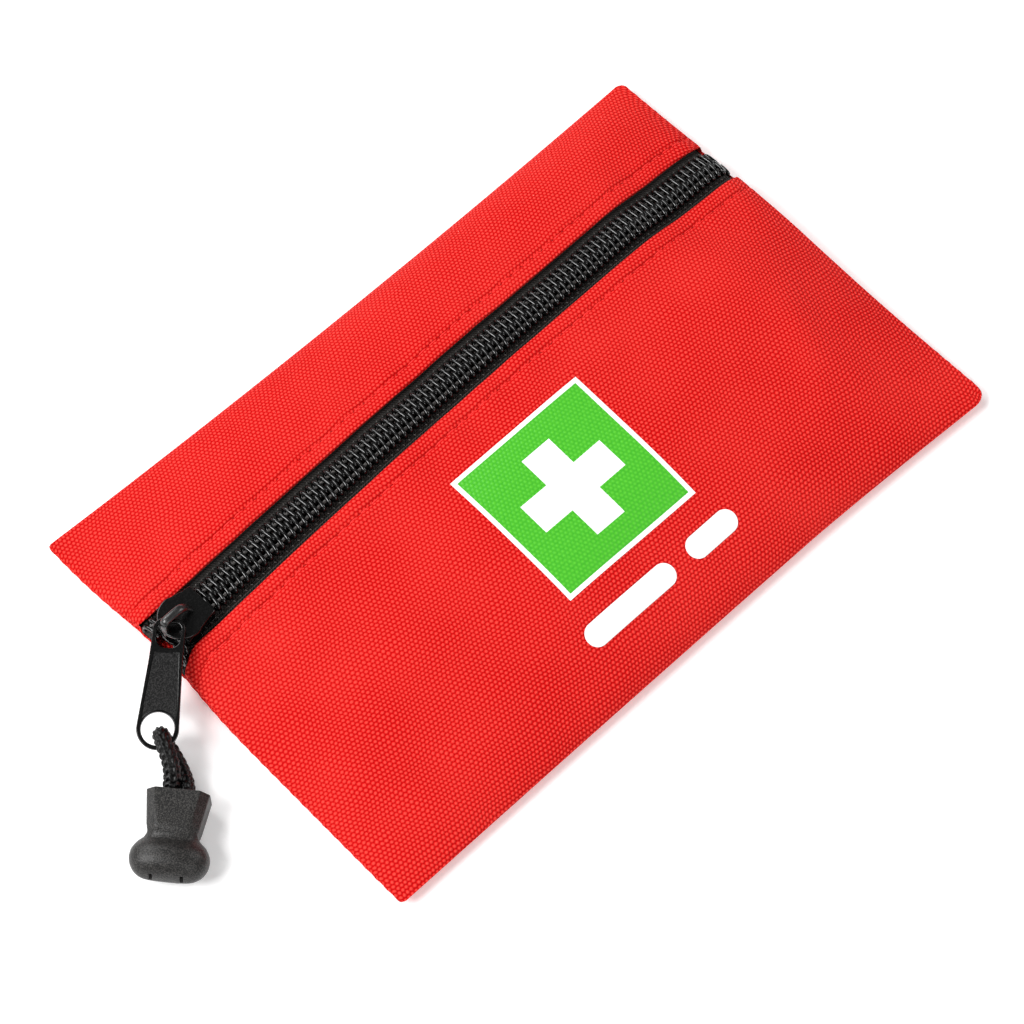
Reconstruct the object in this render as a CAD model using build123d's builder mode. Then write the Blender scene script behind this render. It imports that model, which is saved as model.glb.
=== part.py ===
"""Flat zipped first aid pouch with a corded zip pull and its contents.

Frame, in millimetres: the pouch lies on its back panel. +X runs along the zip towards its closed
end, +Y goes from the bottom fold to the top fold, +Z is up. The origin is the middle of the face
that the back panel rests on.
"""

from math import cos, pi, radians, sin, tan

import os

from build123d import *

os.makedirs("parts", exist_ok=True)

# ---------------------------------------------------------------- driving dimensions
# Pouch
pouch_length = 150.0  # side seam to side seam
pouch_height = 98.0  # bottom fold to top fold
cloth = 0.5  # coated cloth, one layer with its coating and lining
rim_z = 3.0  # height of the folds and side seams above the table
crown_z = 12.6  # highest point of the stuffed front
fold_run = 8.0  # how far in from a fold the panel reaches its full height
seam_allowance = 7.5  # cloth turned in at each short side
seam_thick = 0.5  # the turned-in layers, pressed flat

# Zip
zip_y = 19.75  # height of the zip's centre line at mid length
zip_skew = 1.3  # degrees out of square with the pouch, as sewn
zip_opening = 10.2  # clear width between the two folded cloth edges
tape_top_z = 6.5  # outer face of the zip tape
tape_thick = 0.4
tape_width = 7.0
tape_half_gap = 0.6  # chain middle to the inner edge of one tape
chain_length = 145.0
coil_height = 1.7
coil_inner = 0.65  # chain middle to the inside of one coil
coil_outer = 2.95  # chain middle to the outside of one coil
core_diameter = 0.9
core_bore = 1.0
hem_lap = 1.2  # cloth edge above the tape: the turned edge of each panel
hem_width = 5.0  # level strip of cloth beside the zip

# Stitching
stitch_length = 2.2
stitch_pitch = 2.8
stitch_width = 0.4
stitch_height = 0.3
stitch_inset = 3.4  # stitch line to the folded cloth edge
stitch_span = 130.0

# Slider
slider_u = -67.7  # slider centre along the zip when closed
slider_travel = 130.0
slider_length = 9.8
slider_tail_width = 7.4
slider_lobe_width = 9.6
slider_plate = 0.8
slider_running_gap = 0.12
slider_lip = 0.5
slider_post = 0.8
bail_width = 1.2
bail_thick = 0.7
bail_gap = 2.8  # under the bail's crest
bail_front = -4.45  # centre of the front leg, from the slider's centre
bail_rear = 1.7

# Pull tab
pull_yaw = -139.0  # direction of the tab seen from above
pull_drop = 13.0  # degrees that it hangs below level
pivot_u = -2.85  # bar in the tab's eye, from the slider's centre
pivot_rise = 1.8  # above the slider's top plate
tab_thick = 1.0
tab_bar = 0.8  # round bar at the top of the eye
tab_head_width = 6.0
tab_eye_width = 4.5
tab_eye_end = 5.2  # far end of the eye, from the pivot
tab_corner = 2.0
tab_eye_corner = 0.8
tab_hole_at = 20.2  # centre of the cord hole, from the pivot
tab_hole_diameter = 6.2
tab_end_width = 7.8
tab_recess = 0.15
tab_rim = 0.75

# Cord and cord end
cord_diameter = 3.0
cord_clearance = 0.25
collar_at = (-90.7, -6.6)  # middle of the collar's mouth
cord_end_yaw = -139.6
cord_end_thick = 8.4
collar_mouth = 11.6
collar_waist = 9.8
collar_length = 7.0
collar_chamfer = 1.5
bulb_width = 14.6
bulb_length = 8.4
plug_width = 6.6
plug_thick = 4.2
plug_depth = 3.6
plug_fit = 0.1
mouth_flare = 0.5
cord_insert = 5.0  # length of each cord leg inside the cord end

# Print
print_centre = (1.3, -13.4)
sign_side = 32.4
sign_border = 1.3
cross_span = 20.4
cross_arm = 7.0
film = 0.12
bar_row_y = -37.2
bar_height = 4.6
bar_long = 22.0
bar_short = 12.0
bar_space = 4.0

# Contents
lining_gap = 0.15  # first layer of contents above the back panel
leaflet_size = (92.0, 70.0, 0.3)
plaster_size = (72.0, 19.0, 0.5)
plaster_count = 5
wipe_size = (50.0, 36.0, 0.9)
gauze_size = (50.0, 50.0, 2.0)
dressing_size = (60.0, 34.0, 1.4)
glove_size = (60.0, 42.0, 1.6)
tweezer_length = 78.0
tweezer_width = 7.0
tweezer_leg = 1.2
pin_length = 27.0
pin_width = 6.0
pin_wire = 0.8
wipe_count = 3
gauze_count = 2
packing = 0.05  # air between packets

# ---------------------------------------------------------------- derived places
half_length = pouch_length / 2
half_height = pouch_height / 2
zip_plane = Plane(origin=(0, zip_y, 0), x_dir=(cos(radians(zip_skew)), sin(radians(zip_skew)), 0), z_dir=(0, 0, 1))
coil_top_z = tape_top_z + coil_height
plate_under_z = coil_top_z + slider_running_gap
plate_top_z = plate_under_z + slider_plate
lower_plate_top_z = tape_top_z - tape_thick - slider_running_gap
hem_z = tape_top_z + hem_lap
seam_gap = seam_thick / 2 + 0.1


def zip_y_at(x):
    """Height of the zip's centre line at x."""
    return zip_y + x * tan(radians(zip_skew))


# Stations along the pouch: x, crown of the lower panel, crown of the upper panel, height of the cloth
# edge beside the zip, width of its level hem, and where the lower panel starts to fall to that hem.
edge_z = rim_z + seam_gap + cloth
stations = [
    (-half_length, edge_z, edge_z, hem_z - 0.5, 2.0, 9.0),
    (-half_length + 5, 5.6, 5.6, hem_z, 3.0, 8.0),
    (-half_length + 15, 7.3, 7.0, hem_z, hem_width, 4.0),
    (-half_length + 35, 9.8, 8.4, hem_z, hem_width, 3.0),
    (-18.0, crown_z, 9.2, hem_z, hem_width, 3.0),
    (half_length - 20, crown_z, 9.2, hem_z, hem_width, 3.0),
    (half_length, edge_z, edge_z, hem_z - 0.5, 2.0, 10.0),
]


def band(x, outer):
    """One cloth section at station x: the outer line and the same line one cloth thickness inside it."""
    with BuildSketch(Plane.YZ.offset(x)) as section:
        with BuildLine():
            Polyline(*outer, close=True)
        make_face()
    return section.sketch


def front_lower_section(x, crown, hem, width, crest_y):
    """Section of the front between the bottom fold and the zip."""
    edge_y = zip_y_at(x) - zip_opening / 2
    fold_y = -half_height + fold_run
    top = [(-half_height, rim_z), (fold_y, crown), (crest_y, crown), (edge_y - width, hem), (edge_y, hem)]
    under = [(edge_y, hem - cloth), (edge_y - width, hem - cloth), (crest_y, crown - cloth)]
    return band(x, top + under + [(fold_y, crown - cloth), (-half_height + 2 * cloth, rim_z)])


def front_upper_section(x, crown, hem, width):
    """Section of the front between the zip and the top fold."""
    edge_y = zip_y_at(x) + zip_opening / 2
    fold_y = half_height - fold_run
    top = [(edge_y, hem), (edge_y + width, hem), (fold_y, crown), (half_height, rim_z)]
    under = [(half_height - 2 * cloth, rim_z), (fold_y, crown - cloth), (edge_y + width, hem - cloth)]
    return band(x, top + under + [(edge_y, hem - cloth)])


# ---------------------------------------------------------------- pouch cloth
with BuildPart() as back_panel:
    for x, floor in (
        (-half_length, rim_z - seam_gap - cloth),
        (-half_length + fold_run, 0),
        (half_length - fold_run, 0),
        (half_length, rim_z - seam_gap - cloth),
    ):
        with BuildSketch(Plane.YZ.offset(x)):
            with BuildLine():
                Polyline(
                    (-half_height, rim_z),
                    (-half_height + fold_run, floor),
                    (half_height - fold_run, floor),
                    (half_height, rim_z),
                    (half_height - 2 * cloth, rim_z),
                    (half_height - fold_run, floor + cloth),
                    (-half_height + fold_run, floor + cloth),
                    (-half_height + 2 * cloth, rim_z),
                    close=True,
                )
            make_face()
    loft(ruled=True)
back_panel.part.label = "back_panel"
export_step(back_panel.part, "parts/back_panel.step")

with BuildPart() as front_panel_lower:
    for x, lower_crown, upper_crown, hem, width, crest_y in stations:
        add(front_lower_section(x, lower_crown, hem, width, crest_y))
    loft(ruled=True)
front_panel_lower.part.label = "front_panel_lower"
export_step(front_panel_lower.part, "parts/front_panel_lower.step")

with BuildPart() as front_panel_upper:
    for x, lower_crown, upper_crown, hem, width, crest_y in stations:
        add(front_upper_section(x, upper_crown, hem, width))
    loft(ruled=True)
front_panel_upper.part.label = "front_panel_upper"
export_step(front_panel_upper.part, "parts/front_panel_upper.step")

# The turned-in seam allowances lie between the panels at the two short sides.
for side, name in ((-1, "side_seam_left"), (1, "side_seam_right")):
    with BuildPart() as side_seam:
        with BuildSketch(Plane.XY.offset(rim_z - seam_thick / 2)):
            with Locations((side * (half_length - seam_allowance / 2), 0)):
                Rectangle(seam_allowance - 0.2, pouch_height - 2 * fold_run)
        extrude(amount=seam_thick)
    side_seam.part.label = name
    export_step(side_seam.part, f"parts/{name}.step")

# ---------------------------------------------------------------- zip
def along_zip(v, z):
    """Plane across the zip at the start of the chain, v from the chain's middle and z above the table."""
    start = zip_plane.from_local_coords((-chain_length / 2, v, z))
    return Plane(origin=start, x_dir=(0, 0, 1), z_dir=zip_plane.x_dir)


for side, name in ((1, "upper"), (-1, "lower")):
    with BuildPart() as tape:
        with BuildSketch(zip_plane.offset(tape_top_z - tape_thick)):
            with Locations((0, side * (tape_half_gap + tape_width / 2))):
                Rectangle(chain_length, tape_width)
        extrude(amount=tape_thick)
    tape.part.label = f"zip_tape_{name}"
    export_step(tape.part, f"parts/zip_tape_{name}.step")

    coil_plane = along_zip(side * (coil_inner + coil_outer) / 2, tape_top_z + coil_height / 2)
    with BuildPart() as coil:
        with BuildSketch(coil_plane):
            RectangleRounded(coil_height, coil_outer - coil_inner, 0.5)
            Circle(core_bore / 2, mode=Mode.SUBTRACT)
        extrude(amount=chain_length)
    coil.part.label = f"zip_coil_{name}"
    export_step(coil.part, f"parts/zip_coil_{name}.step")

    with BuildPart() as core:
        with BuildSketch(coil_plane):
            Circle(core_diameter / 2)
        extrude(amount=chain_length)
    core.part.label = f"coil_core_{name}"
    export_step(core.part, f"parts/coil_core_{name}.step")

    # Lockstitches stand on the flat cloth edge; each panel falls away from its own edge.
    stitch_v = side * (zip_opening / 2 + stitch_inset)
    with BuildPart() as topstitch:
        with BuildSketch(zip_plane.offset(hem_z + 0.05)):
            with Locations((0, stitch_v)):
                with GridLocations(stitch_pitch, 1, round(stitch_span / stitch_pitch), 1):
                    SlotOverall(stitch_length, stitch_width)
        extrude(amount=stitch_height)
    topstitch.part.label = f"topstitch_{name}"
    export_step(topstitch.part, f"parts/topstitch_{name}.step")

# ---------------------------------------------------------------- slider
slider_plane = Plane(
    origin=zip_plane.from_local_coords((slider_u, 0, 0)), x_dir=zip_plane.x_dir, z_dir=(0, 0, 1)
)
nose_u = -slider_length / 2
tail_u = slider_length / 2
lobe_radius = 2.6
lobe_v = slider_lobe_width / 2 - lobe_radius


def slider_outline():
    """Plan of a slider plate: a straight tail that widens to two round lobes at the nose."""
    with BuildSketch() as outline:
        with BuildLine():
            Polyline(
                (tail_u, -slider_tail_width / 2),
                (tail_u, slider_tail_width / 2),
                (nose_u + lobe_radius, slider_lobe_width / 2),
                (nose_u + lobe_radius, -slider_lobe_width / 2),
                close=True,
            )
        make_face()
        with Locations((nose_u + lobe_radius, lobe_v), (nose_u + lobe_radius, -lobe_v)):
            Circle(lobe_radius)
        with Locations((nose_u + lobe_radius / 2, 0)):
            Rectangle(lobe_radius, 2 * lobe_v)
    return outline.sketch


with BuildPart() as slider_body:
    with BuildSketch(slider_plane.offset(plate_under_z)):
        add(slider_outline())
    extrude(amount=slider_plate)
    top_rim = slider_body.faces().sort_by(Axis.Z)[-1].edges()
    chamfer(top_rim, 0.2)
    # Lips along both sides guide the coils and stop short of the tape.
    with BuildSketch(slider_plane.offset(tape_top_z + slider_running_gap)):
        add(slider_outline())
        offset(amount=-slider_lip, mode=Mode.SUBTRACT)
        with Locations((nose_u, 0), (tail_u, 0)):
            Rectangle(2 * slider_lip + lobe_radius, 2 * coil_outer + 0.3, mode=Mode.SUBTRACT)
    extrude(amount=plate_under_z - tape_top_z - slider_running_gap)
    with BuildSketch(slider_plane.offset(lower_plate_top_z - slider_plate)):
        add(slider_outline())
    extrude(amount=slider_plate)
    # The post joins the plates between the coils.
    with BuildSketch(slider_plane.offset(lower_plate_top_z - slider_plate / 2)):
        with Locations((nose_u + 1.6, 0)):
            SlotOverall(3.0, slider_post)
    extrude(amount=plate_under_z - lower_plate_top_z + slider_plate)
slider_body.part.label = "slider_body"
export_step(slider_body.part, "parts/slider_body.step")

with BuildPart() as slider_bail:
    bail_side = Plane(
        origin=slider_plane.from_local_coords((0, bail_width / 2, plate_top_z)),
        x_dir=slider_plane.x_dir,
        z_dir=-slider_plane.y_dir,
    )
    crest = bail_gap + bail_thick
    front_in, front_out = bail_front + bail_thick / 2, bail_front - bail_thick / 2
    with BuildSketch(bail_side):
        with BuildLine():
            Polyline(
                (front_out, 0),
                (front_out, crest - 1.0),
                (front_out + 1.0, crest),
                (bail_rear - 2.0, crest),
                (bail_rear + bail_thick / 2, 0),
                (bail_rear - bail_thick / 2, 0),
                (bail_rear - 2.4, bail_gap),
                (front_in + 0.3, bail_gap),
                (front_in, bail_gap - 0.3),
                (front_in, 0),
                close=True,
            )
        make_face()
    extrude(amount=bail_width)
slider_bail.part.label = "slider_bail"
export_step(slider_bail.part, "parts/slider_bail.step")
tail_reach = slider_u + slider_travel + slider_length / 2
print("tail of the slider at full travel, mm along the zip:", round(tail_reach, 2), "of", chain_length / 2)

# ---------------------------------------------------------------- pull tab
pivot = Vector(*slider_plane.from_local_coords((pivot_u, 0, plate_top_z + pivot_rise)))
drop, yaw = radians(pull_drop), radians(pull_yaw)
tab_along = Vector(cos(drop) * cos(yaw), cos(drop) * sin(yaw), -sin(drop))
tab_plane = Plane(
    origin=pivot, x_dir=tab_along, z_dir=(sin(drop) * cos(yaw), sin(drop) * sin(yaw), cos(drop))
)
head_radius = tab_head_width / 2
end_radius = tab_end_width / 2
with BuildPart() as pull_tab:
    with BuildSketch(tab_plane.offset(-tab_thick / 2)):
        with BuildLine():
            Polyline(
                (tab_eye_end / 2, -head_radius),
                (tab_eye_end / 2, head_radius),
                (tab_hole_at, end_radius),
                (tab_hole_at, -end_radius),
                close=True,
            )
        make_face()
        with Locations((tab_eye_end / 2, 0)):
            RectangleRounded(tab_eye_end + tab_bar, tab_head_width, tab_corner)
        with Locations((tab_hole_at, 0)):
            Circle(end_radius)
            Circle(tab_hole_diameter / 2, mode=Mode.SUBTRACT)
        with Locations(((tab_bar / 2 + tab_eye_end) / 2, 0)):
            RectangleRounded(tab_eye_end - tab_bar / 2, tab_eye_width, tab_eye_corner, mode=Mode.SUBTRACT)
    extrude(amount=tab_thick)
    # Both faces have a shallow recess between the long rims.
    recess_start, recess_end = tab_eye_end + 0.8, tab_hole_at - tab_hole_diameter / 2 - 0.4
    for face_z in (tab_thick / 2 - tab_recess, -tab_thick / 2):
        with BuildSketch(tab_plane.offset(face_z)):
            with BuildLine():
                Polyline(
                    (recess_start, -head_radius + tab_rim),
                    (recess_start, head_radius - tab_rim),
                    (recess_end, end_radius - tab_rim - 0.2),
                    (recess_end, -end_radius + tab_rim + 0.2),
                    close=True,
                )
            make_face()
        extrude(amount=tab_recess, mode=Mode.SUBTRACT)
pull_tab.part.label = "pull_tab"
export_step(pull_tab.part, "parts/pull_tab.step")

# ---------------------------------------------------------------- cord end
hole_centre = Vector(*tab_plane.from_local_coords((tab_hole_at, 0, 0)))
end_yaw = radians(cord_end_yaw)
end_along = Vector(cos(end_yaw), sin(end_yaw), 0)
mouth = Vector(*collar_at, cord_end_thick / 2)
# Sections of the cord end stand across its length: local x is its width, local y is up.
end_plane = Plane(origin=mouth, x_dir=Vector(-sin(end_yaw), cos(end_yaw), 0), z_dir=end_along)
leg_v = cord_diameter / 2 + 0.1
socket_width = 2 * leg_v + cord_diameter + 2 * cord_clearance
socket_thick = cord_diameter + 2 * cord_clearance
bulb_start = collar_length + 0.4
bulb_centre = bulb_start + bulb_length / 2
end_length = bulb_start + bulb_length

with BuildPart() as cord_end_body:
    # The bulb is a rounded bar across the cord, as thick as the cord end.
    bulb_plane = Plane(origin=mouth + end_along * bulb_centre, x_dir=end_plane.x_dir, z_dir=(0, 0, 1))
    with BuildSketch(bulb_plane.offset(-cord_end_thick / 2)):
        SlotOverall(bulb_width, bulb_length)
    extrude(amount=cord_end_thick)
    fillet(cord_end_body.faces().filter_by(Axis.Z).edges(), cord_end_thick / 2 - 1.2)
    for depth, width in ((0, collar_mouth), (collar_length + 1.2, collar_waist)):
        with BuildSketch(end_plane.offset(depth)) as collar_section:
            Rectangle(width, cord_end_thick - 0.6)
            chamfer(collar_section.vertices(), collar_chamfer)
    loft(ruled=True)
    with BuildSketch(end_plane):
        SlotOverall(socket_width, socket_thick)
    extrude(amount=cord_insert + 0.5, mode=Mode.SUBTRACT)
    with BuildSketch(end_plane):
        SlotOverall(socket_width + 2 * mouth_flare, socket_thick + 2 * mouth_flare)
    extrude(amount=mouth_flare, taper=45, mode=Mode.SUBTRACT)
    with BuildSketch(end_plane.offset(end_length - plug_depth)):
        Rectangle(plug_width + 2 * plug_fit, plug_thick + 2 * plug_fit)
    extrude(amount=plug_depth + 1, mode=Mode.SUBTRACT)
cord_end_body.part.label = "cord_end_body"
export_step(cord_end_body.part, "parts/cord_end_body.step")

with BuildPart() as cord_end_plug:
    with BuildSketch(end_plane.offset(end_length - plug_depth)):
        Rectangle(plug_width, plug_thick)
    extrude(amount=plug_depth - 0.1)
    with BuildSketch(end_plane.offset(end_length - plug_depth)):
        Rectangle(plug_width - 2.4, plug_thick - 1.6)
    extrude(amount=plug_depth - 1.2, mode=Mode.SUBTRACT)
cord_end_plug.part.label = "cord_end_plug"
export_step(cord_end_plug.part, "parts/cord_end_plug.step")


# ---------------------------------------------------------------- cord
def cord_point(forward, sideways, z):
    """A point from the mouth of the cord end: back towards the tab, across, and above the table."""
    place = mouth - end_along * forward + end_plane.x_dir * sideways
    return (place.X, place.Y, z)


def tab_point(along, sideways, above):
    """A point in the tab's frame, from the centre of its cord hole."""
    return tuple(Vector(*tab_plane.from_local_coords((tab_hole_at + along, sideways, above))))


# One cord: out of the collar, over the tab's rim, down through its hole and back under the rim.
cord_route = [
    cord_point(-cord_insert, -leg_v, 4.2),
    cord_point(0.8, -leg_v, 4.3),
    tab_point(6.9, 3.9, 3.0),
    tab_point(1.1, 0.8, 3.3),
    tab_point(1.1, 0.8, -3.3),
    tab_point(6.6, 4.9, -2.6),
    cord_point(0.8, leg_v, 4.1),
    cord_point(-cord_insert, leg_v, 4.2),
]


def corner_radii(points):
    """Arc for each corner: 0.45 of its shorter run over the tangent of half the turn."""
    places = [Vector(*p) for p in points]
    radii = []
    for before, here, after in zip(places, places[1:], places[2:]):
        run_in, run_out = here - before, after - here
        half_turn = radians(run_in.get_angle(run_out)) / 2
        radii.append(0.45 * min(run_in.length, run_out.length) / tan(half_turn))
    return radii


cord_radii = corner_radii(cord_route)
print("cord radii, mm:", [round(r, 1) for r in cord_radii])
with BuildPart() as pull_cord:
    with BuildLine() as cord_line:
        FilletPolyline(*cord_route, radius=cord_radii)
    cord_path = cord_line.wire()
    with BuildSketch(Plane(origin=cord_path @ 0, z_dir=cord_path % 0)):
        Circle(cord_diameter / 2)
    sweep(path=cord_path)
pull_cord.part.label = "pull_cord"
export_step(pull_cord.part, "parts/pull_cord.step")
section_area = pi * cord_diameter**2 / 4
print("cord length, mm:", round(cord_path.length, 1))
print("cord volume over section times length:", round(pull_cord.part.volume / cord_path.length / section_area, 4))

# ---------------------------------------------------------------- print on the lower panel
print_plane = Plane(origin=(print_centre[0], print_centre[1], crown_z), z_dir=(0, 0, 1))
field_side = sign_side - 2 * sign_border
with BuildPart() as sign_border_film:
    with BuildSketch(print_plane):
        Rectangle(sign_side, sign_side)
        Rectangle(field_side, field_side, mode=Mode.SUBTRACT)
    extrude(amount=film)
sign_border_film.part.label = "sign_border"
export_step(sign_border_film.part, "parts/sign_border.step")

with BuildPart() as sign_cross:
    with BuildSketch(print_plane):
        Rectangle(cross_span, cross_arm)
        Rectangle(cross_arm, cross_span)
    extrude(amount=film)
sign_cross.part.label = "sign_cross"
export_step(sign_cross.part, "parts/sign_cross.step")

with BuildPart() as sign_field:
    with BuildSketch(print_plane):
        Rectangle(field_side, field_side)
        Rectangle(cross_span, cross_arm, mode=Mode.SUBTRACT)
        Rectangle(cross_arm, cross_span, mode=Mode.SUBTRACT)
    extrude(amount=film)
sign_field.part.label = "sign_field"
export_step(sign_field.part, "parts/sign_field.step")

row_length = bar_long + bar_space + bar_short
with BuildPart() as print_bars:
    with BuildSketch(Plane.XY.offset(crown_z)):
        with Locations((print_centre[0] - row_length / 2 + bar_long / 2, bar_row_y)):
            SlotOverall(bar_long, bar_height)
        with Locations((print_centre[0] + row_length / 2 - bar_short / 2, bar_row_y)):
            SlotOverall(bar_short, bar_height)
    extrude(amount=film)
print_bars.part.label = "print_bars"
export_step(print_bars.part, "parts/print_bars.step")


# ---------------------------------------------------------------- contents
def packet(name, size, places, corner):
    """A node of flat rounded packets: size is length, width, thickness; places are centres on their undersides."""
    with BuildPart() as packets:
        for x, y, z in places:
            with BuildSketch(Plane.XY.offset(z)):
                with Locations((x, y)):
                    RectangleRounded(size[0], size[1], corner)
            extrude(amount=size[2])
    packets.part.label = name
    export_step(packets.part, f"parts/{name}.step")


floor_z = cloth + lining_gap
first_layer_z = floor_z + leaflet_size[2] + packing
packet("leaflet", leaflet_size, [(0, -5, floor_z)], 1.0)
wipe_places = [(-34, -20, first_layer_z + i * (wipe_size[2] + packing)) for i in range(wipe_count)]
packet("wipe_sachets", wipe_size, wipe_places, 0.8)
dressing_z = first_layer_z + wipe_count * (wipe_size[2] + packing)
packet("wound_dressing", dressing_size, [(-29, -20, dressing_z)], 0.8)
plaster_places = [(-26, 10, first_layer_z + i * (plaster_size[2] + packing)) for i in range(plaster_count)]
packet("plaster_strips", plaster_size, plaster_places, 1.5)
gauze_places = [(36, -14, first_layer_z + i * (gauze_size[2] + packing)) for i in range(gauze_count)]
packet("gauze_packs", gauze_size, gauze_places, 0.8)
glove_z = first_layer_z + gauze_count * (gauze_size[2] + packing)
packet("folded_gloves", glove_size, [(34, -16, glove_z)], 4.0)

# Tweezers: two sprung legs joined at one end.
with BuildPart() as tweezers:
    tweezer_side = Plane(origin=(0, 35 + tweezer_width / 2, floor_z), x_dir=(1, 0, 0), z_dir=(0, -1, 0))
    reach, spread = tweezer_length / 2, 3.4
    with BuildSketch(tweezer_side):
        with BuildLine():
            Polyline(
                (-reach, 0),
                (reach, 0),
                (reach, tweezer_leg - 0.4),
                (-reach + 6, tweezer_leg),
                (-reach + 6, spread - tweezer_leg + 0.6),
                (reach, spread - 0.4),
                (reach, spread),
                (-reach, spread),
                close=True,
            )
        make_face()
    extrude(amount=tweezer_width)
tweezers.part.label = "tweezers"
export_step(tweezers.part, "parts/tweezers.step")

# Closed safety pins, side by side: two wires joined by the coil loop and the cap.
with BuildPart() as safety_pins:
    for pin_x in (52.0, 60.0):
        with BuildSketch(Plane.XY.offset(floor_z)):
            with Locations((pin_x, 26)):
                SlotOverall(pin_length, pin_width, rotation=90)
                SlotOverall(pin_length - 2 * pin_wire, pin_width - 2 * pin_wire, rotation=90, mode=Mode.SUBTRACT)
        extrude(amount=pin_wire)
safety_pins.part.label = "safety_pins"
export_step(safety_pins.part, "parts/safety_pins.step")
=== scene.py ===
"""Looks of a flat, zipped first aid pouch with a corded zip pull.

Sizes in the classes are in millimetres and are turned to metres where a mesh is made. The row frame
is the CAD's: +X along the zip towards its closed end, +Y from the bottom fold to the top fold, +Z up.
"""

import logging
import math
from dataclasses import dataclass
from enum import Enum

import bpy
import numpy as np
from mathutils import Matrix, Vector


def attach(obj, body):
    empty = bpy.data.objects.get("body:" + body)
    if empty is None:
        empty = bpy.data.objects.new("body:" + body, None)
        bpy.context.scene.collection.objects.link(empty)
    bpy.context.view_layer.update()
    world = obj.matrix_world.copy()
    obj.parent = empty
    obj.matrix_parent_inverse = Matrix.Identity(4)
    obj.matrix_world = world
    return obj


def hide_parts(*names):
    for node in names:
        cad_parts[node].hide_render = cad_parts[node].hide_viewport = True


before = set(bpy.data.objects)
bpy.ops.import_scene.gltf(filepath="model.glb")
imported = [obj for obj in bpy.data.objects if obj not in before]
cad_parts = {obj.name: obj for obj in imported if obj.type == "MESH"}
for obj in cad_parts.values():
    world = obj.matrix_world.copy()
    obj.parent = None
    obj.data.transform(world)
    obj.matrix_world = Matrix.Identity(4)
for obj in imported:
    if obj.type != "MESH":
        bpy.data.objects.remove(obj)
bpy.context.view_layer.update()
MM = 0.001
UV_NAME = "cloth_mm"
log = logging.getLogger("pouch")


# ---------------------------------------------------------------- small helpers
class Side(Enum):
    """Which side of the zip a half belongs to."""

    UPPER = 1
    LOWER = -1


def linear(hex_colour: str) -> tuple[float, float, float, float]:
    """Turns an sRGB hex colour to linear light.

    Args:
        hex_colour: Six hex digits with a leading #.

    Returns:
        Red, green, blue and an alpha of one.
    """
    parts = [int(hex_colour[i : i + 2], 16) / 255 for i in (1, 3, 5)]
    return tuple(c / 12.92 if c <= 0.04045 else ((c + 0.055) / 1.055) ** 2.4 for c in parts) + (1.0,)


def add_node(
    tree: bpy.types.NodeTree, kind: str, inputs: dict | tuple = (), **settings: object
) -> bpy.types.Node:
    """Adds a node with its settings and links.

    Args:
        tree: The tree that gets the node.
        kind: The node's type name without its ShaderNode prefix.
        inputs: The values or feeding sockets, in the order of the node's own or by name or number.
        settings: Attributes of the node.

    Returns:
        The new node.
    """
    node = tree.nodes.new("ShaderNode" + kind)
    for name, value in settings.items():
        setattr(node, name, value)
    for key, value in inputs.items() if isinstance(inputs, dict) else enumerate(inputs):
        if isinstance(value, bpy.types.NodeSocket):
            tree.links.new(value, node.inputs[key])
        else:
            node.inputs[key].default_value = value
    return node


def weave_height(
    tree: bpy.types.NodeTree, place: bpy.types.NodeSocket, warp: float, weft: float
) -> bpy.types.NodeSocket:
    """Height of a plain weave, from 0 to 1, whose warp floats stand proud of its weft.

    Args:
        tree: The material's tree.
        place: Thread coordinates in millimetres.
        warp: Distance between warp threads.
        weft: Distance between weft threads.

    Returns:
        The socket that holds the height.
    """
    axes = add_node(tree, "SeparateXYZ", (place,))
    waves = []
    for axis, pitch in (("X", warp), ("Y", weft)):
        turn = add_node(tree, "Math", (axes.outputs[axis], math.pi / pitch), operation="MULTIPLY")
        waves.append(add_node(tree, "Math", (turn.outputs[0],), operation="SINE").outputs[0])
    across, along = waves
    # A plain weave crosses over and under in turn, so floats sit on every other crossing.
    crossing = add_node(tree, "Math", (across, along), operation="MULTIPLY").outputs[0]
    floats = add_node(tree, "Math", (crossing, 0.31, 0.31), operation="MULTIPLY_ADD").outputs[0]
    crown = add_node(tree, "Math", (along, along), operation="MULTIPLY").outputs[0]
    return add_node(tree, "Math", (crown, 0.38, floats), operation="MULTIPLY_ADD").outputs[0]


def new_material(name: str) -> tuple[bpy.types.Material, bpy.types.NodeTree, bpy.types.Node]:
    """An empty material with its tree and its principled shader.

    Args:
        name: The material's name.

    Returns:
        The material, its node tree and its shader node.
    """
    material = bpy.data.materials.new(name)
    material.use_nodes = True
    tree = material.node_tree
    tree.nodes.clear()
    shader = add_node(tree, "BsdfPrincipled")
    add_node(tree, "OutputMaterial", {"Surface": shader.outputs[0]})
    return material, tree, shader


def grid_faces(rows: int, columns: int, closed: bool = False) -> list[tuple[int, ...]]:
    """Quads of a grid of points stored row by row.

    Args:
        rows: Number of rows.
        columns: Points in a row.
        closed: Whether the last column joins the first.

    Returns:
        The quads as tuples of four indices.
    """
    faces = []
    for r in range(rows - 1):
        for c in range(columns if closed else columns - 1):
            d = (c + 1) % columns
            a, b = r * columns, (r + 1) * columns
            faces.append((a + c, a + d, b + d, b + c))
    return faces


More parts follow.
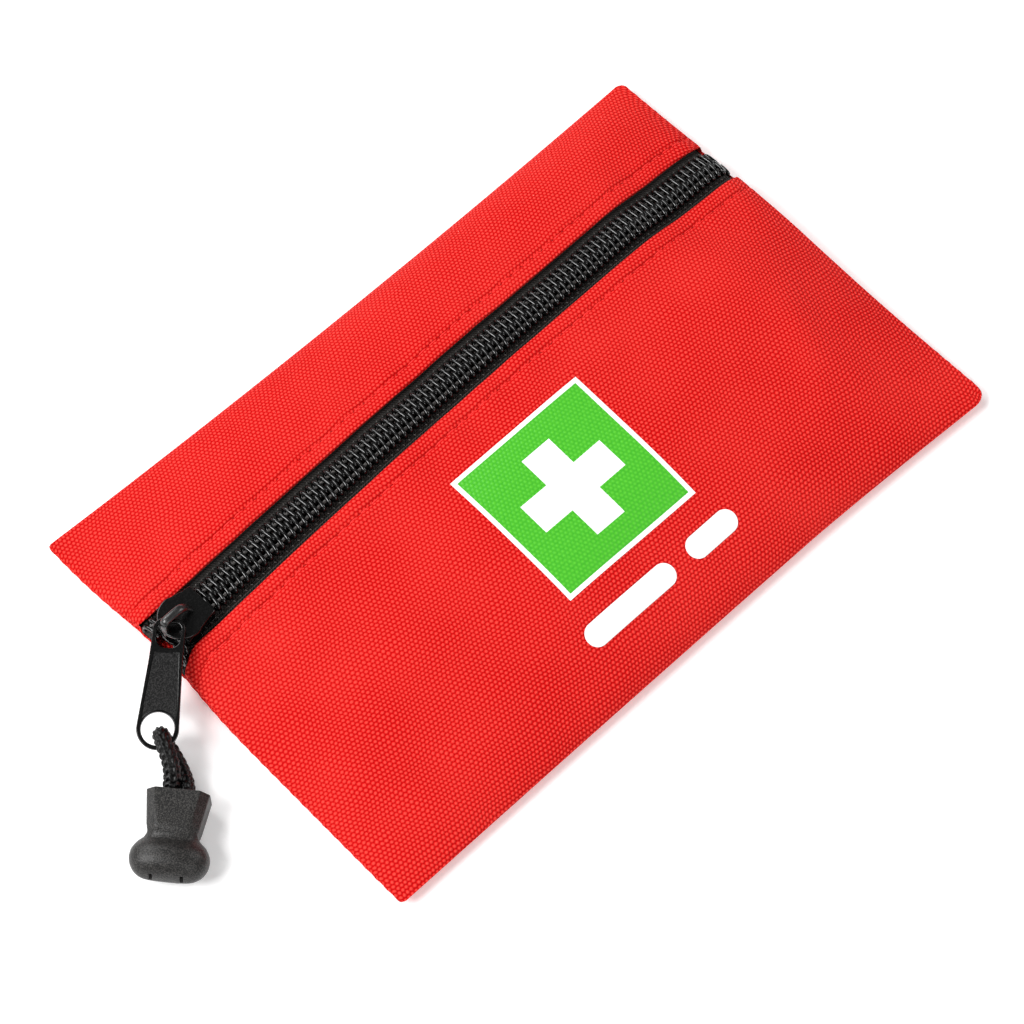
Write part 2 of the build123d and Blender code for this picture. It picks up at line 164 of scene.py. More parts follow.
def mesh_piece(
    name: str,
    points: np.ndarray,
    faces: list,
    material: bpy.types.Material,
    uv: np.ndarray | None = None,
) -> bpy.types.Object:
    """Makes a smooth-shaded mesh object from points in millimetres.

    Args:
        name: The piece's name.
        points: N by 3 array in millimetres.
        faces: Tuples of point indices.
        material: The piece's finish.
        uv: N by 2 array of thread coordinates in millimetres.

    Returns:
        The new object, linked to the scene.
    """
    mesh = bpy.data.meshes.new(name)
    mesh.from_pydata((np.asarray(points, float) * MM).tolist(), [], faces)
    mesh.polygons.foreach_set("use_smooth", [True] * len(mesh.polygons))
    if uv is not None:
        layer = mesh.uv_layers.new(name=UV_NAME)
        corner = np.zeros(len(mesh.loops), np.int32)
        mesh.loops.foreach_get("vertex_index", corner)
        layer.data.foreach_set("uv", np.asarray(uv, np.float32)[corner].ravel())
    mesh.materials.append(material)
    piece = bpy.data.objects.new(name, mesh)
    bpy.context.scene.collection.objects.link(piece)
    return piece


def joined(parts: list[tuple[np.ndarray, list]]) -> tuple[np.ndarray, list]:
    """Joins several (points, faces) lists to one.

    Args:
        parts: Points and faces of each loose shape.

    Returns:
        All the points, and the faces that count through them.
    """
    points, faces, start = [], [], 0
    for part_points, part_faces in parts:
        points.append(part_points)
        faces.extend(tuple(i + start for i in face) for face in part_faces)
        start += len(part_points)
    return np.vstack(points), faces


def apply_modifiers(piece: bpy.types.Object) -> None:
    """Replaces a piece's mesh by its mesh with the modifiers applied.

    Args:
        piece: The piece to change.
    """
    bpy.context.view_layer.update()
    graph = bpy.context.evaluated_depsgraph_get()
    mesh = bpy.data.meshes.new_from_object(piece.evaluated_get(graph))
    piece.modifiers.clear()
    piece.data = mesh


def curve_mesh(curve: bpy.types.Curve) -> bpy.types.Mesh:
    """The mesh of a curve, as Blender works it out.

    Args:
        curve: The curve, which is kept.

    Returns:
        A new mesh of the curve's line or surface, in metres.
    """
    holder = bpy.data.objects.new("curve_holder", curve)
    bpy.context.scene.collection.objects.link(holder)
    bpy.context.view_layer.update()
    graph = bpy.context.evaluated_depsgraph_get()
    mesh = bpy.data.meshes.new_from_object(holder.evaluated_get(graph))
    bpy.data.objects.remove(holder)
    return mesh


def nurbs(points: list, name: str, resolution: int) -> bpy.types.Curve:
    """A smooth open spline with these control points in millimetres.

    Args:
        points: The control points in millimetres.
        name: The curve's name.
        resolution: How many points are worked out for each control point.

    Returns:
        The curve, in metres.
    """
    curve = bpy.data.curves.new(name, "CURVE")
    curve.dimensions = "3D"
    spline = curve.splines.new("NURBS")
    spline.points.add(len(points) - 1)
    for knot, place in zip(spline.points, points):
        knot.co = (*(c * MM for c in place), 1)
    spline.order_u = 3
    spline.use_endpoint_u = True
    spline.resolution_u = resolution
    return curve


def wire_ring(centres: np.ndarray, radius: float, count: int) -> tuple[np.ndarray, list]:
    """A round tube along points.

    Args:
        centres: N by 3 array of the tube's centre line.
        radius: Radius of the tube.
        count: Points round the tube.

    Returns:
        Points and faces of the tube, with a flat cap on each end.
    """
    ahead = np.gradient(centres, axis=0)
    ahead /= np.linalg.norm(ahead, axis=1, keepdims=True)
    side = np.cross(ahead[0], (0.31, 0.2, 0.93))  # any direction that no wire here runs in
    rows = []
    for centre, along in zip(centres, ahead):
        side = side - along * side.dot(along)
        side /= np.linalg.norm(side)
        up = np.cross(along, side)
        turn = np.linspace(0, 2 * math.pi, count, endpoint=False)[:, None]
        rows.append(centre + radius * (np.cos(turn) * side + np.sin(turn) * up))
    faces = grid_faces(len(centres), count, closed=True)
    faces += [tuple(range(count))[::-1], tuple(range((len(centres) - 1) * count, len(centres) * count))]
    return np.vstack(rows), faces


# ---------------------------------------------------------------- finishes
@dataclass(frozen=True)
class CoatedOxford:
    """Plain-woven 600 denier polyester, piece-dyed red, with a thin coat that gives a soft shine."""

    # The thread colour is the cloth's red on the crowns, lightened as a painted highlight; the gap colour is
    # painted shade between the threads.
    thread: str = "#FF473F"
    gap: str = "#BE0307"
    warp: float = 0.43  # distance between warp threads
    weft: float = 0.79  # distance between weft threads
    depth: float = 0.3  # from the crown of a thread to the gap beside it
    wander: float = 1.6  # how far the threads stray, at most
    wander_per_mm: float = 0.09
    fuzz_per_mm: float = 3.1  # loose fibres on the threads
    fuzz_share: float = 0.24
    cloud_per_mm: float = 0.045  # uneven dye
    cloud_share: float = 0.2
    roughness: float = 0.6
    ior: float = 1.46
    shine: float = 0.04

    def make(self, name: str) -> bpy.types.Material:
        """The cloth's material, with threads laid by its own coordinates in millimetres.

        Args:
            name: The material's name.

        Returns:
            The material.
        """
        material, tree, shader = new_material(name)
        place = add_node(tree, "UVMap", uv_map=UV_NAME).outputs[0]
        # Threads wander a little, as woven ones do, so no row is ruler-straight.
        drift = add_node(tree, "TexNoise", {"Vector": place, "Scale": self.wander_per_mm, "Detail": 2.0})
        offset = add_node(tree, "VectorMath", (drift.outputs["Color"], (0.5, 0.5, 0.5)), operation="SUBTRACT")
        reach = (self.wander, self.wander, 0)
        moved = add_node(tree, "VectorMath", (offset.outputs[0], reach, place), operation="MULTIPLY_ADD")
        height = weave_height(tree, moved.outputs[0], self.warp, self.weft)
        tone = height
        for per_mm, detail, share in (
            (self.fuzz_per_mm, 3.0, self.fuzz_share),
            (self.cloud_per_mm, 2.0, self.cloud_share),
        ):
            noise = add_node(tree, "TexNoise", {"Vector": place, "Scale": per_mm, "Detail": detail})
            level = add_node(tree, "Math", (tone, share / 2), operation="SUBTRACT")
            parts = (noise.outputs[0], share, level.outputs[0])
            tone = add_node(tree, "Math", parts, operation="MULTIPLY_ADD").outputs[0]
        # Painted light: the weave's height lightens the crowns as a painted highlight and darkens the gaps as
        # painted shade; the fuzz and cloud noise are the cloth's own uneven tone.
        ramp = add_node(tree, "ValToRGB", (tone,))
        for stop, position, colour in zip(ramp.color_ramp.elements, (0.3, 0.8), (self.gap, self.thread)):
            stop.position, stop.color = position, linear(colour)
        bump = add_node(tree, "Bump", {"Height": height, "Strength": 0.9, "Distance": self.depth * MM})
        tree.links.new(ramp.outputs[0], shader.inputs["Base Color"])
        tree.links.new(bump.outputs[0], shader.inputs["Normal"])
        shader.inputs["Roughness"].default_value = self.roughness
        shader.inputs["IOR"].default_value = self.ior
        shader.inputs["Specular IOR Level"].default_value = self.shine
        return material


@dataclass(frozen=True)
class PrintFilm:
    """Heat-pressed film: an opaque layer of ink that sinks a little into the weave below."""

    colour: str
    shade: str
    warp: float = 0.43
    weft: float = 0.79
    relief: float = 0.12  # how deep the film sinks between the threads
    grain_per_mm: float = 1.4
    grain_share: float = 0.5
    weave_share: float = 0.65
    roughness: float = 0.45

    def make(self, name: str) -> bpy.types.Material:
        """The film's material, in which the cloth's threads still show faintly as painted shade in the
        weave's hollows.

        Args:
            name: The material's name.

        Returns:
            The material.
        """
        material, tree, shader = new_material(name)
        place = add_node(tree, "UVMap", uv_map=UV_NAME).outputs[0]
        hill = weave_height(tree, place, self.warp, self.weft)
        grain = add_node(tree, "TexNoise", {"Vector": place, "Scale": self.grain_per_mm, "Detail": 4.0})
        # The shade colour is painted shade in the weave's hollows, and also the dark end of the film's random
        # grain.
        tone = add_node(tree, "Math", (hill, self.weave_share, -0.12), operation="MULTIPLY_ADD").outputs[0]
        tone = add_node(
            tree, "Math", (grain.outputs[0], self.grain_share, tone), operation="MULTIPLY_ADD"
        ).outputs[0]
        ends = {6: linear(self.shade), 7: linear(self.colour)}
        mix = add_node(tree, "Mix", {0: tone, **ends}, data_type="RGBA")
        bump = add_node(tree, "Bump", {"Height": hill, "Strength": 0.6, "Distance": self.relief * MM})
        tree.links.new(mix.outputs[2], shader.inputs["Base Color"])
        tree.links.new(bump.outputs[0], shader.inputs["Normal"])
        shader.inputs["Roughness"].default_value = self.roughness
        return material


@dataclass(frozen=True)
class ZipTape:
    """Woven black polyester tape: fine herringbone, and raised warp ribs beside the coil."""

    # dark and light: the twill's and ribs' crowns are painted towards light as highlight and their furrows
    # towards dark as shade; the nap noise between them is the tape's own uneven tone.
    dark: str = "#070606"
    light: str = "#45423F"
    ribs: float = 0.5  # height of a rib against the twill's
    rib_pitch: float = 1.0
    # The herringbone is drawn at twice its real 0.3 mm, which would be too fine to show.
    twill_pitch: float = 0.6
    twill_lean: float = 0.8
    nap_per_mm: float = 1.9
    depth: float = 0.2
    roughness: float = 0.6
    shine: float = 0.2

    def make(self, name: str) -> bpy.types.Material:
        """The tape's material, along and across the zip in millimetres.

        Args:
            name: The material's name.

        Returns:
            The material.
        """
        material, tree, shader = new_material(name)
        place = add_node(tree, "UVMap", uv_map=UV_NAME).outputs[0]
        axes = add_node(tree, "SeparateXYZ", (place,))
        lean = add_node(tree, "Math", (axes.outputs["Y"], self.twill_lean), operation="MULTIPLY").outputs[0]
        slant = add_node(tree, "Math", (axes.outputs["X"], lean), operation="ADD").outputs[0]
        waves = []
        for run, pitch in ((slant, self.twill_pitch), (axes.outputs["Y"], self.rib_pitch)):
            turn = add_node(tree, "Math", (run, 2 * math.pi / pitch), operation="MULTIPLY").outputs[0]
            waves.append(add_node(tree, "Math", (turn,), operation="SINE").outputs[0])
        twill, rib = waves
        # Ribs are narrow ridges with wide valleys between them.
        rib = add_node(tree, "Math", (rib, 0.5, 0.5), operation="MULTIPLY_ADD").outputs[0]
        rib = add_node(tree, "Math", (rib, 3.0), operation="POWER").outputs[0]
        rib = add_node(tree, "Math", (rib, self.ribs), operation="MULTIPLY").outputs[0]
        height = add_node(tree, "Math", (twill, 0.32, rib), operation="MULTIPLY_ADD").outputs[0]
        nap = add_node(tree, "TexNoise", {"Vector": place, "Scale": self.nap_per_mm, "Detail": 4.0})
        # Painted light and shade: raised twill and ribs take the lighter colour and the furrows the darker;
        # the nap noise adds the tape's own uneven tone.
        tone = add_node(tree, "Math", (height, 0.5), operation="MULTIPLY").outputs[0]
        tone = add_node(tree, "Math", (nap.outputs[0], 0.6, tone), operation="MULTIPLY_ADD").outputs[0]
        ends = {6: linear(self.dark), 7: linear(self.light)}
        mix = add_node(tree, "Mix", {0: tone, **ends}, data_type="RGBA")
        bump = add_node(tree, "Bump", {"Height": height, "Strength": 0.9, "Distance": self.depth * MM})
        tree.links.new(mix.outputs[2], shader.inputs["Base Color"])
        tree.links.new(bump.outputs[0], shader.inputs["Normal"])
        shader.inputs["Roughness"].default_value = self.roughness
        shader.inputs["Specular IOR Level"].default_value = self.shine
        return material


@dataclass(frozen=True)
class FineGrain:
    """A solid with a fine grain of its own, from drawn nylon and enamel to spark-grained plastic.

    The grains are drawn a few times as coarse as real ones, which would be too fine to show.
    """

    colour: str
    speck: str
    roughness: float
    grain: float  # distance between grains
    relief: float  # depth of the grain
    speck_share: float = 0.35
    ior: float = 1.5
    metallic: float = 0.0

    def make(self, name: str) -> bpy.types.Material:
        """The material, with its grain laid in the solid's own space.

        Args:
            name: The material's name.

        Returns:
            The material.
        """
        material, tree, shader = new_material(name)
        place = add_node(tree, "TexCoord").outputs["Object"]
        per_metre = 1 / (self.grain * MM)
        grit = add_node(
            tree, "TexNoise", {"Vector": place, "Scale": per_metre, "Detail": 2.0, "Roughness": 0.6}
        ).outputs[0]
        cells = add_node(tree, "TexVoronoi", {"Vector": place, "Scale": 0.8 * per_metre})
        pick = add_node(tree, "ValToRGB", (grit,))
        low = 0.64 - self.speck_share * 0.4
        for stop, position, colour in zip(
            pick.color_ramp.elements, (low, low + 0.14), (self.colour, self.speck)
        ):
            stop.position, stop.color = position, linear(colour)
        height = add_node(tree, "Math", (cells.outputs["Distance"], 0.6, grit), operation="MULTIPLY_ADD")
        bump = add_node(
            tree, "Bump", {"Height": height.outputs[0], "Strength": 0.6, "Distance": self.relief * MM}
        )
        wear = add_node(tree, "MapRange", {0: grit, 3: self.roughness * 0.85, 4: self.roughness * 1.2})
        tree.links.new(pick.outputs[0], shader.inputs["Base Color"])
        tree.links.new(bump.outputs[0], shader.inputs["Normal"])
        tree.links.new(wear.outputs[0], shader.inputs["Roughness"])
        shader.inputs["Metallic"].default_value = self.metallic
        if not self.metallic:
            shader.inputs["IOR"].default_value = self.ior
        return material


class Finishes:
    """Every material of the pouch, made once."""

    def __init__(self) -> None:
        """Builds the materials."""
        # Coated polyester cloth, plain-woven: threads lightened on their crowns as a painted highlight over
        # gaps painted deep red as shade, with a soft shine.
        self.cloth = CoatedOxford().make("coated_oxford_red")
        # Spun polyester thread in the cloth's red: duller and a shade deeper than the cloth.
        self.thread = FineGrain("#E3201F", "#F0332C", 0.6, 0.2, 0.03).make("sewing_thread_red")
        # Painted shade in each needle hole: a dull dark red point between two stitches, where the pierced
        # cloth lies in shade.
        self.painted_hole_shade = FineGrain("#9A060C", "#A80A10", 0.9, 0.3, 0.02).make("painted_hole_shade")
        # Polyurethane film, heat-pressed: flat clean colour, with the threads showing through as painted
        # shade in the weave's hollows.
        self.white = PrintFilm("#FFFFFF", "#EDEFEF").make("white_print_film")
        self.green = PrintFilm("#5CCB2C", "#229C05").make("green_print_film")
        # Polyester tape, woven in a herringbone: a dull grey-black with a faint slant painted lighter on the
        # twill's crowns as highlight.
        self.tape = ZipTape().make("zip_tape_plain")
        # The same tape where its warp ribs stand up: rib crowns painted lighter as highlight and the furrows
        # along the coil painted dark as shade.
        self.tape_ribbed = ZipTape(ribs=1.6, rib_pitch=0.8).make("zip_tape_ribbed")
        # Nylon monofilament, drawn smooth: deep black with a thin sharp gleam along each turn.
        self.nylon = FineGrain("#040404", "#0A0A0A", 0.16, 0.6, 0.01, ior=1.55).make("nylon_monofilament")
        # Textured polyester thread, black: small greyish dots on the darker tape.
        self.dots = FineGrain("#3C3A39", "#6A6764", 0.4, 0.2, 0.02).make("tape_thread_black")
        # Enamel, dipped and baked on die-cast zinc: a glossy black skin with soft edges.
        self.enamel = FineGrain("#050505", "#101010", 0.18, 0.3, 0.008, ior=1.42).make("gloss_enamel_black")
        # The same enamel on the bail, painted a lighter grey as part of its broad grey highlight: it shines
        # broadly and greyly.
        self.bail_sheen_enamel = FineGrain("#0B0B0B", "#171717", 0.34, 0.3, 0.01, ior=1.7).make("bail_sheen_enamel_black")
        # Enamel over a sand-grained die face: a dull sunk panel with pale points.
        self.recess = FineGrain("#070707", "#2C2B2B", 0.5, 0.26, 0.12, speck_share=0.45, ior=1.25).make(
            "grained_enamel"
        )
        # Filament polyester cord, knitted: black stitches with a silky gleam on each crown.
        self.cord = FineGrain("#040404", "#0C0B0B", 0.34, 0.3, 0.02, ior=1.34).make("knitted_polyester_black")
        # Polypropylene from a spark-eroded mould: matte charcoal with points where the grain catches light.
        self.plastic = FineGrain("#0C0B0B", "#3A3836", 0.4, 0.24, 0.08, speck_share=0.45, ior=1.42).make(
            "spark_grained_pp"
        )
        # Medical paper, calendered: a dull warm white.
        self.paper = FineGrain("#E6E6E0", "#F2F2EE", 0.8, 0.5, 0.03).make("medical_paper")
        # Paper laminated with foil: a cool grey with a satin shine.
        self.foil = FineGrain("#C9D2DC", "#E2E8EE", 0.35, 0.8, 0.05).make("laminated_foil_paper")
        # Nitrile film, dipped: a soft blue with a slight shine.
        self.nitrile = FineGrain("#2B55B8", "#3A66C8", 0.5, 0.6, 0.04).make("nitrile_film")
        # Polypropylene, moulded smooth: a milky white gloss.
        self.white_plastic = FineGrain("#DADADA", "#E8E8E8", 0.3, 0.6, 0.01).make("moulded_polypropylene")
        # Steel wire, nickel-plated: a bright metal with slightly blurred reflections.
        self.steel = FineGrain("#B8B8B8", "#C8C8C8", 0.25, 0.3, 0.01, metallic=1.0).make("nickel_plated_wire")


# ---------------------------------------------------------------- the stuffed shape
@dataclass
class PouchShape:
    """The cloth's outer surface: two long folds, two sewn short sides and a stuffed middle."""

    half_x: float = 75.0
    half_y: float = 49.0
    zip_y: float = 19.75
    zip_slope: float = 0.0227
    edge: float = 2.5  # height of the edge line above the table
    nose_power: float = 2.4  # how squarely the section turns down to the folds
    nose_round: float = 0.62
    zip_reach: float = 15.0  # how far from the zip its own profile holds
    pucker: float = 0.16
    slack: float = 0.32
    soft: float = 0.2
    droop: float = 0.01  # slope of the right corner past its bend
    bend: float = 4.0
    least: float = 0.02  # gap that keeps the back off the table
    # The stuffing's height at places along X: beside the zip, and away from it.
    beside_knots: tuple = (
        (-75, 1.7), (-73.8, 2.6), (-71, 3.5), (-65, 4.2), (-52, 6.3), (-40, 8.0), (-16, 9.3), (10, 9.9),
        (32, 10.1), (49, 9.0), (58, 6.2), (64, 4.95), (70, 3.9), (73.6, 2.2), (75, 0.6),
    )
    away_knots: tuple = (
        (-75, 0.5), (-70, 2.3), (-60, 5.0), (-40, 8.2), (-18, 10.3), (10, 10.9), (40, 10.8), (57, 10.0),
        (66, 6.6), (72, 3.2), (75, 0.8),
    )
    # Turned corners: which end, which fold, and their radius.
    corners: tuple = ((1, -1, 3.2), (1, 1, 1.6), (-1, -1, 0.9), (-1, 1, 0.7))

    def __post_init__(self) -> None:
        """Works out the smooth stuffing profiles along X."""
        self.runs = np.linspace(-self.half_x, self.half_x, 601)
        self.beside = self._smooth(self.beside_knots, 1.6)
        self.away = self._smooth(self.away_knots, 2.4)

    def _smooth(self, knots: tuple, spread: float) -> np.ndarray:
        """Heights at the run positions, rounded off.

        Args:
            knots: Places along X, each with its height.
            spread: Distance over which corners are rounded.

        Returns:
            One height for each run position.
        """
        raw = np.interp(self.runs, *zip(*knots))
        reach = np.arange(-40, 41) * 0.25
        weight = np.exp(-0.5 * (reach / spread) ** 2)
        padded = np.pad(raw, 40, mode="reflect", reflect_type="odd")
        return np.convolve(padded, weight / weight.sum(), mode="valid")

    def zip_line(self, x: np.ndarray) -> np.ndarray:
        """Y of the zip's centre line."""
        return self.zip_y + self.zip_slope * x

    def rim(self, x: np.ndarray, y: np.ndarray) -> np.ndarray:
        """Height of the edge line: the sewn sides lift where the zip and the stuffing pull them up.

        Args:
            x: Places along the pouch.
            y: Places across it.

        Returns:
            The heights.
        """
        left = np.clip((-x - 50) / 25, 0, 1) ** 2
        right = np.clip((x - 45) / 30, 0, 1) ** 2
        return (
            self.edge
            + 2.1 * left * np.exp(-(((y - 18) / 14) ** 2))
            + 2.4 * right * np.exp(-(((y - 6) / 24) ** 2))
        )

    def ripple(self, x: np.ndarray, y: np.ndarray) -> np.ndarray:
        """Small puckers beside the seams, slack waves in the panels and three soft creases.

        Args:
            x: Places along the pouch.
            y: Places across it.

        Returns:
            Heights to add, which fade to nothing at the edges.
        """
        t = y - self.zip_line(x)
        inside = np.clip((self.half_x - np.abs(x)) / 12, 0, 1) * np.clip((self.half_y - np.abs(y)) / 6, 0, 1)
        seam = np.exp(-(((np.abs(t) - 9.5) / 4.0) ** 2))
        pucker = self.pucker * np.sin(x / 1.9 + 1.3 * np.sin(x / 11)) * seam
        slack = self.slack * np.sin(x / 13.0 + y / 17.0 + 0.8) * np.sin(y / 11.0 - x / 31.0 + 0.4)
        soft = self.soft * np.sin(x / 7.1 - y / 9.3) * np.sin(y / 6.7 + x / 23.0)
        crease = 0.5 * np.exp(-(((x + 0.55 * y + 78) / 4.5) ** 2)) * np.exp(-(((y + 22) / 20) ** 2))
        crease -= 0.45 * np.exp(-(((x + 0.9 * y + 62) / 5.0) ** 2)) * np.exp(-(((y + 14) / 15) ** 2))
        crease += 0.4 * np.exp(-(((x - 0.5 * y - 66) / 4.0) ** 2)) * np.exp(-(((y + 18) / 18) ** 2))
        # The right corner hangs lower than the stuffing, past a soft diagonal bend.
        past = (x - 28) * 0.82 - (y + 11.5) * 0.572
        sag = -self.droop * self.bend * np.logaddexp(0, past / self.bend)
        return inside * (pucker + slack + soft + crease + sag)

    def top(self, x: np.ndarray, y: np.ndarray) -> np.ndarray:
        """Height of the front's outer face.

        Args:
            x: Places along the pouch.
            y: Places across it.

        Returns:
            The heights.
        """
        x, y = np.broadcast_arrays(np.asarray(x, float), np.asarray(y, float))
        w = np.clip(np.abs(y) / self.half_y, 0, 1)
        near = np.exp(-(((y - self.zip_line(x)) / self.zip_reach) ** 2))
        fill = near * np.interp(x, self.runs, self.beside) + (1 - near) * np.interp(x, self.runs, self.away)
        nose = (1 - w**self.nose_power) ** self.nose_round
        return self.rim(x, y) + fill * nose + self.ripple(x, y)

    def bottom(self, x: np.ndarray, y: np.ndarray) -> np.ndarray:
        """Height of the back's outer face: flat on the table, rolled up towards every edge.

        Args:
            x: Places along the pouch.
            y: Places across it.

        Returns:
            The heights.
        """
        w = np.clip(np.abs(y) / self.half_y, 0, 1)
        u = np.clip(np.abs(x) / self.half_x, 0, 1)
        keep = np.sqrt(np.clip(1 - w**14, 0, 1)) * (1 - 0.62 * u**16)
        return np.maximum(self.rim(x, y) * (1 - keep), self.least)

    def warp(self, x: np.ndarray, y: np.ndarray) -> tuple[np.ndarray, np.ndarray]:
        """Moves plan positions in from the square outline, as the stuffing pulls the cloth in.

        Args:
            x: Places along the square outline.
            y: Places across it.

        Returns:
            The moved places.
        """
        up = np.clip((y + 10) / 59, 0, 1) ** 2
        down = np.clip((-y - 10) / 39, 0, 1) ** 2
        span = 1 - (x / self.half_x) ** 2
        new_y = y - 1.3 * up * span + 0.3 * down * span
        new_x = x + 1.0 * np.clip((-x - 50) / 25, 0, 1) ** 2 * np.exp(-(((y - 18) / 13) ** 2))
        # The right corner at the bottom fold is drawn out a little.
        corner = np.clip((x - 30) / 45, 0, 1) ** 1.4 * np.clip((-y - 5) / 44, 0, 1) ** 1.4
        new_x, new_y = new_x + 1.2 * corner, new_y - 1.6 * corner
        for sx, sy, r in self.corners:
            a = np.clip((sx * x - self.half_x + r) / r, 0, 1)
            b = np.clip((sy * y - self.half_y + r) / r, 0, 1)
            size = np.hypot(a, b)
            share = np.where(size > 1e-6, np.maximum(a, b) / np.maximum(size, 1e-6), 1.0)
            new_x, new_y = new_x - sx * r * a * (1 - share), new_y - sy * r * b * (1 - share)
        return new_x, new_y

    def place(self, x: np.ndarray, y: np.ndarray, lift: np.ndarray | float) -> np.ndarray:
        """Points on the front, lifted straight up.

        Args:
            x: Places along the square outline.
            y: Places across it.
            lift: Height above the cloth.

        Returns:
            The points, with X, Y and Z last.
        """
        x, y, lift = np.broadcast_arrays(*(np.asarray(v, float) for v in (x, y, lift)))
        new_x, new_y = self.warp(x, y)
        return np.stack([new_x, new_y, self.top(x, y) + lift], -1)

    def beside_zip(self, x: np.ndarray, across: np.ndarray, lift: np.ndarray | float) -> np.ndarray:
        """Points given by their place along the zip, across it and above the cloth's level."""
        return self.place(x, self.zip_line(np.asarray(x, float)) + across, lift)


# ---------------------------------------------------------------- cloth
@dataclass
class BodyCloth:
    """One cloth wrapped round both long folds, with a turned hem on each side of the zip."""

    shape: PouchShape
    half_gap: float = 5.1  # from the zip's middle to a hem's edge
    hem_reach: float = 7.6  # from a hem's edge to where the cloth lies flat again
    hem_lift: float = 0.34
    groove: float = 0.42  # depth of the stitch line
    fold_run: float = 8.0  # width of the strip that is divided finely beside a fold
    taper: float = 3.5  # length over which the hems run down into a sewn side
    flare_low: float = 2.4  # how far the mouth parts at the left end
    flare_high: float = 0.5

    def hem_path(self, side: Side) -> list[tuple[float, float]]:
        """Distance from the zip's middle and lift, from under the hem out over its edge.

        Args:
            side: The side of the zip.

        Returns:
            Pairs of a signed distance and a height over the cloth's level.
        """
        top = self.hem_lift
        path = [(3.6, -0.75), (1.5, -0.75), (0.5, -0.72), (0.15, -0.6), (0, -0.35), (0.02, -0.05), (0.2, 0.2),
                (0.6, top), (1.5, top), (2.4, top - 0.02), (2.9, 0.2), (3.2, 0.0), (3.4, -self.groove),
                (3.6, -0.2), (3.9, 0.12), (4.3, 0.24), (5.0, 0.16), (6.2, 0.1), (self.hem_reach, 0.02)]
        return [(side.value * (self.half_gap + t), lift) for t, lift in path]

    def column(self, x: float) -> np.ndarray:
        """One section of the cloth at x, from the lower hem round the back to the upper hem.

        Args:
            x: Place along the pouch.

        Returns:
            Rows of X, Y, lift, and 1 for the back or 0 for the front.
        """
        half_y, run = self.shape.half_y, self.fold_run
        middle = float(self.shape.zip_line(np.array(x)))
        close = 1 - 0.6 * np.clip((abs(x) - self.shape.half_x + self.taper) / self.taper, 0, 1)
        flare = float(np.clip((-x - 69.5) / 5.5, 0, 1)) ** 1.6
        low, high = self.flare_low * flare, self.flare_high * flare
        turn = np.linspace(0, math.pi / 2, 14)
        inner = -half_y + run
        rows = [(x, middle + t - low, lift * close, 0) for t, lift in self.hem_path(Side.LOWER)]
        last = middle - self.half_gap - self.hem_reach - low
        rows += [(x, y, 0, 0) for y in last + (inner - last) * np.linspace(0, 1, 56)[1:]]
        rows += [(x, -half_y + run * (1 - math.sin(a)), 0, 0) for a in turn[1:]]
        rows += [(x, -half_y + run * (1 - math.sin(a)), 0, 1) for a in turn[::-1][1:]]
        rows += [(x, y, 0, 1) for y in np.linspace(inner, -inner, 48)[1:]]
        rows += [(x, half_y - run * (1 - math.sin(a)), 0, 1) for a in turn[1:]]
        rows += [(x, half_y - run * (1 - math.sin(a)), 0, 0) for a in turn[::-1][1:]]
        first = middle + self.half_gap + self.hem_reach
        rows += [(x, y, 0, 0) for y in -inner + (first + inner) * np.linspace(0, 1, 20)[1:]]
        upper = reversed(self.hem_path(Side.UPPER)[:-1])
        rows += [(x, middle + t + high, lift * close, 0) for t, lift in upper]
        return np.array(rows)

    def build(self, finish: Finishes) -> bpy.types.Object:
        """Args:
            finish: The pouch's materials.

        Returns:
            The cloth.
        """
        shape = self.shape
        ends = np.linspace(shape.half_x - 3, shape.half_x, 9)
        xs = np.concatenate([-ends[::-1], np.linspace(-ends[0], ends[0], 165)[1:-1], ends])
        table = np.stack([self.column(x) for x in xs])  # columns by rows by 4
        x, y, lift, back = (table[..., i] for i in range(4))
        z = np.where(back > 0.5, shape.bottom(x, y), shape.top(x, y) + lift)
        new_x, new_y = shape.warp(x, y)
        points = np.stack([new_x, new_y, z], -1)
        steps = np.linalg.norm(np.diff(points, axis=1), axis=2)
        run = np.concatenate([np.zeros((len(xs), 1)), np.cumsum(steps, axis=1)], 1)
        fold = int(np.argmax(back[0] > 0.5))
        run -= run[:, fold : fold + 1]
        uv = np.stack([x, run], -1)
        rows = table.shape[1]
        cloth = mesh_piece(
            "body_cloth", points.reshape(-1, 3), grid_faces(len(xs), rows), finish.cloth, uv.reshape(-1, 2)
        )
        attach(cloth, "pouch")
        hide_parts("front_panel_lower", "front_panel_upper", "back_panel")
        return cloth


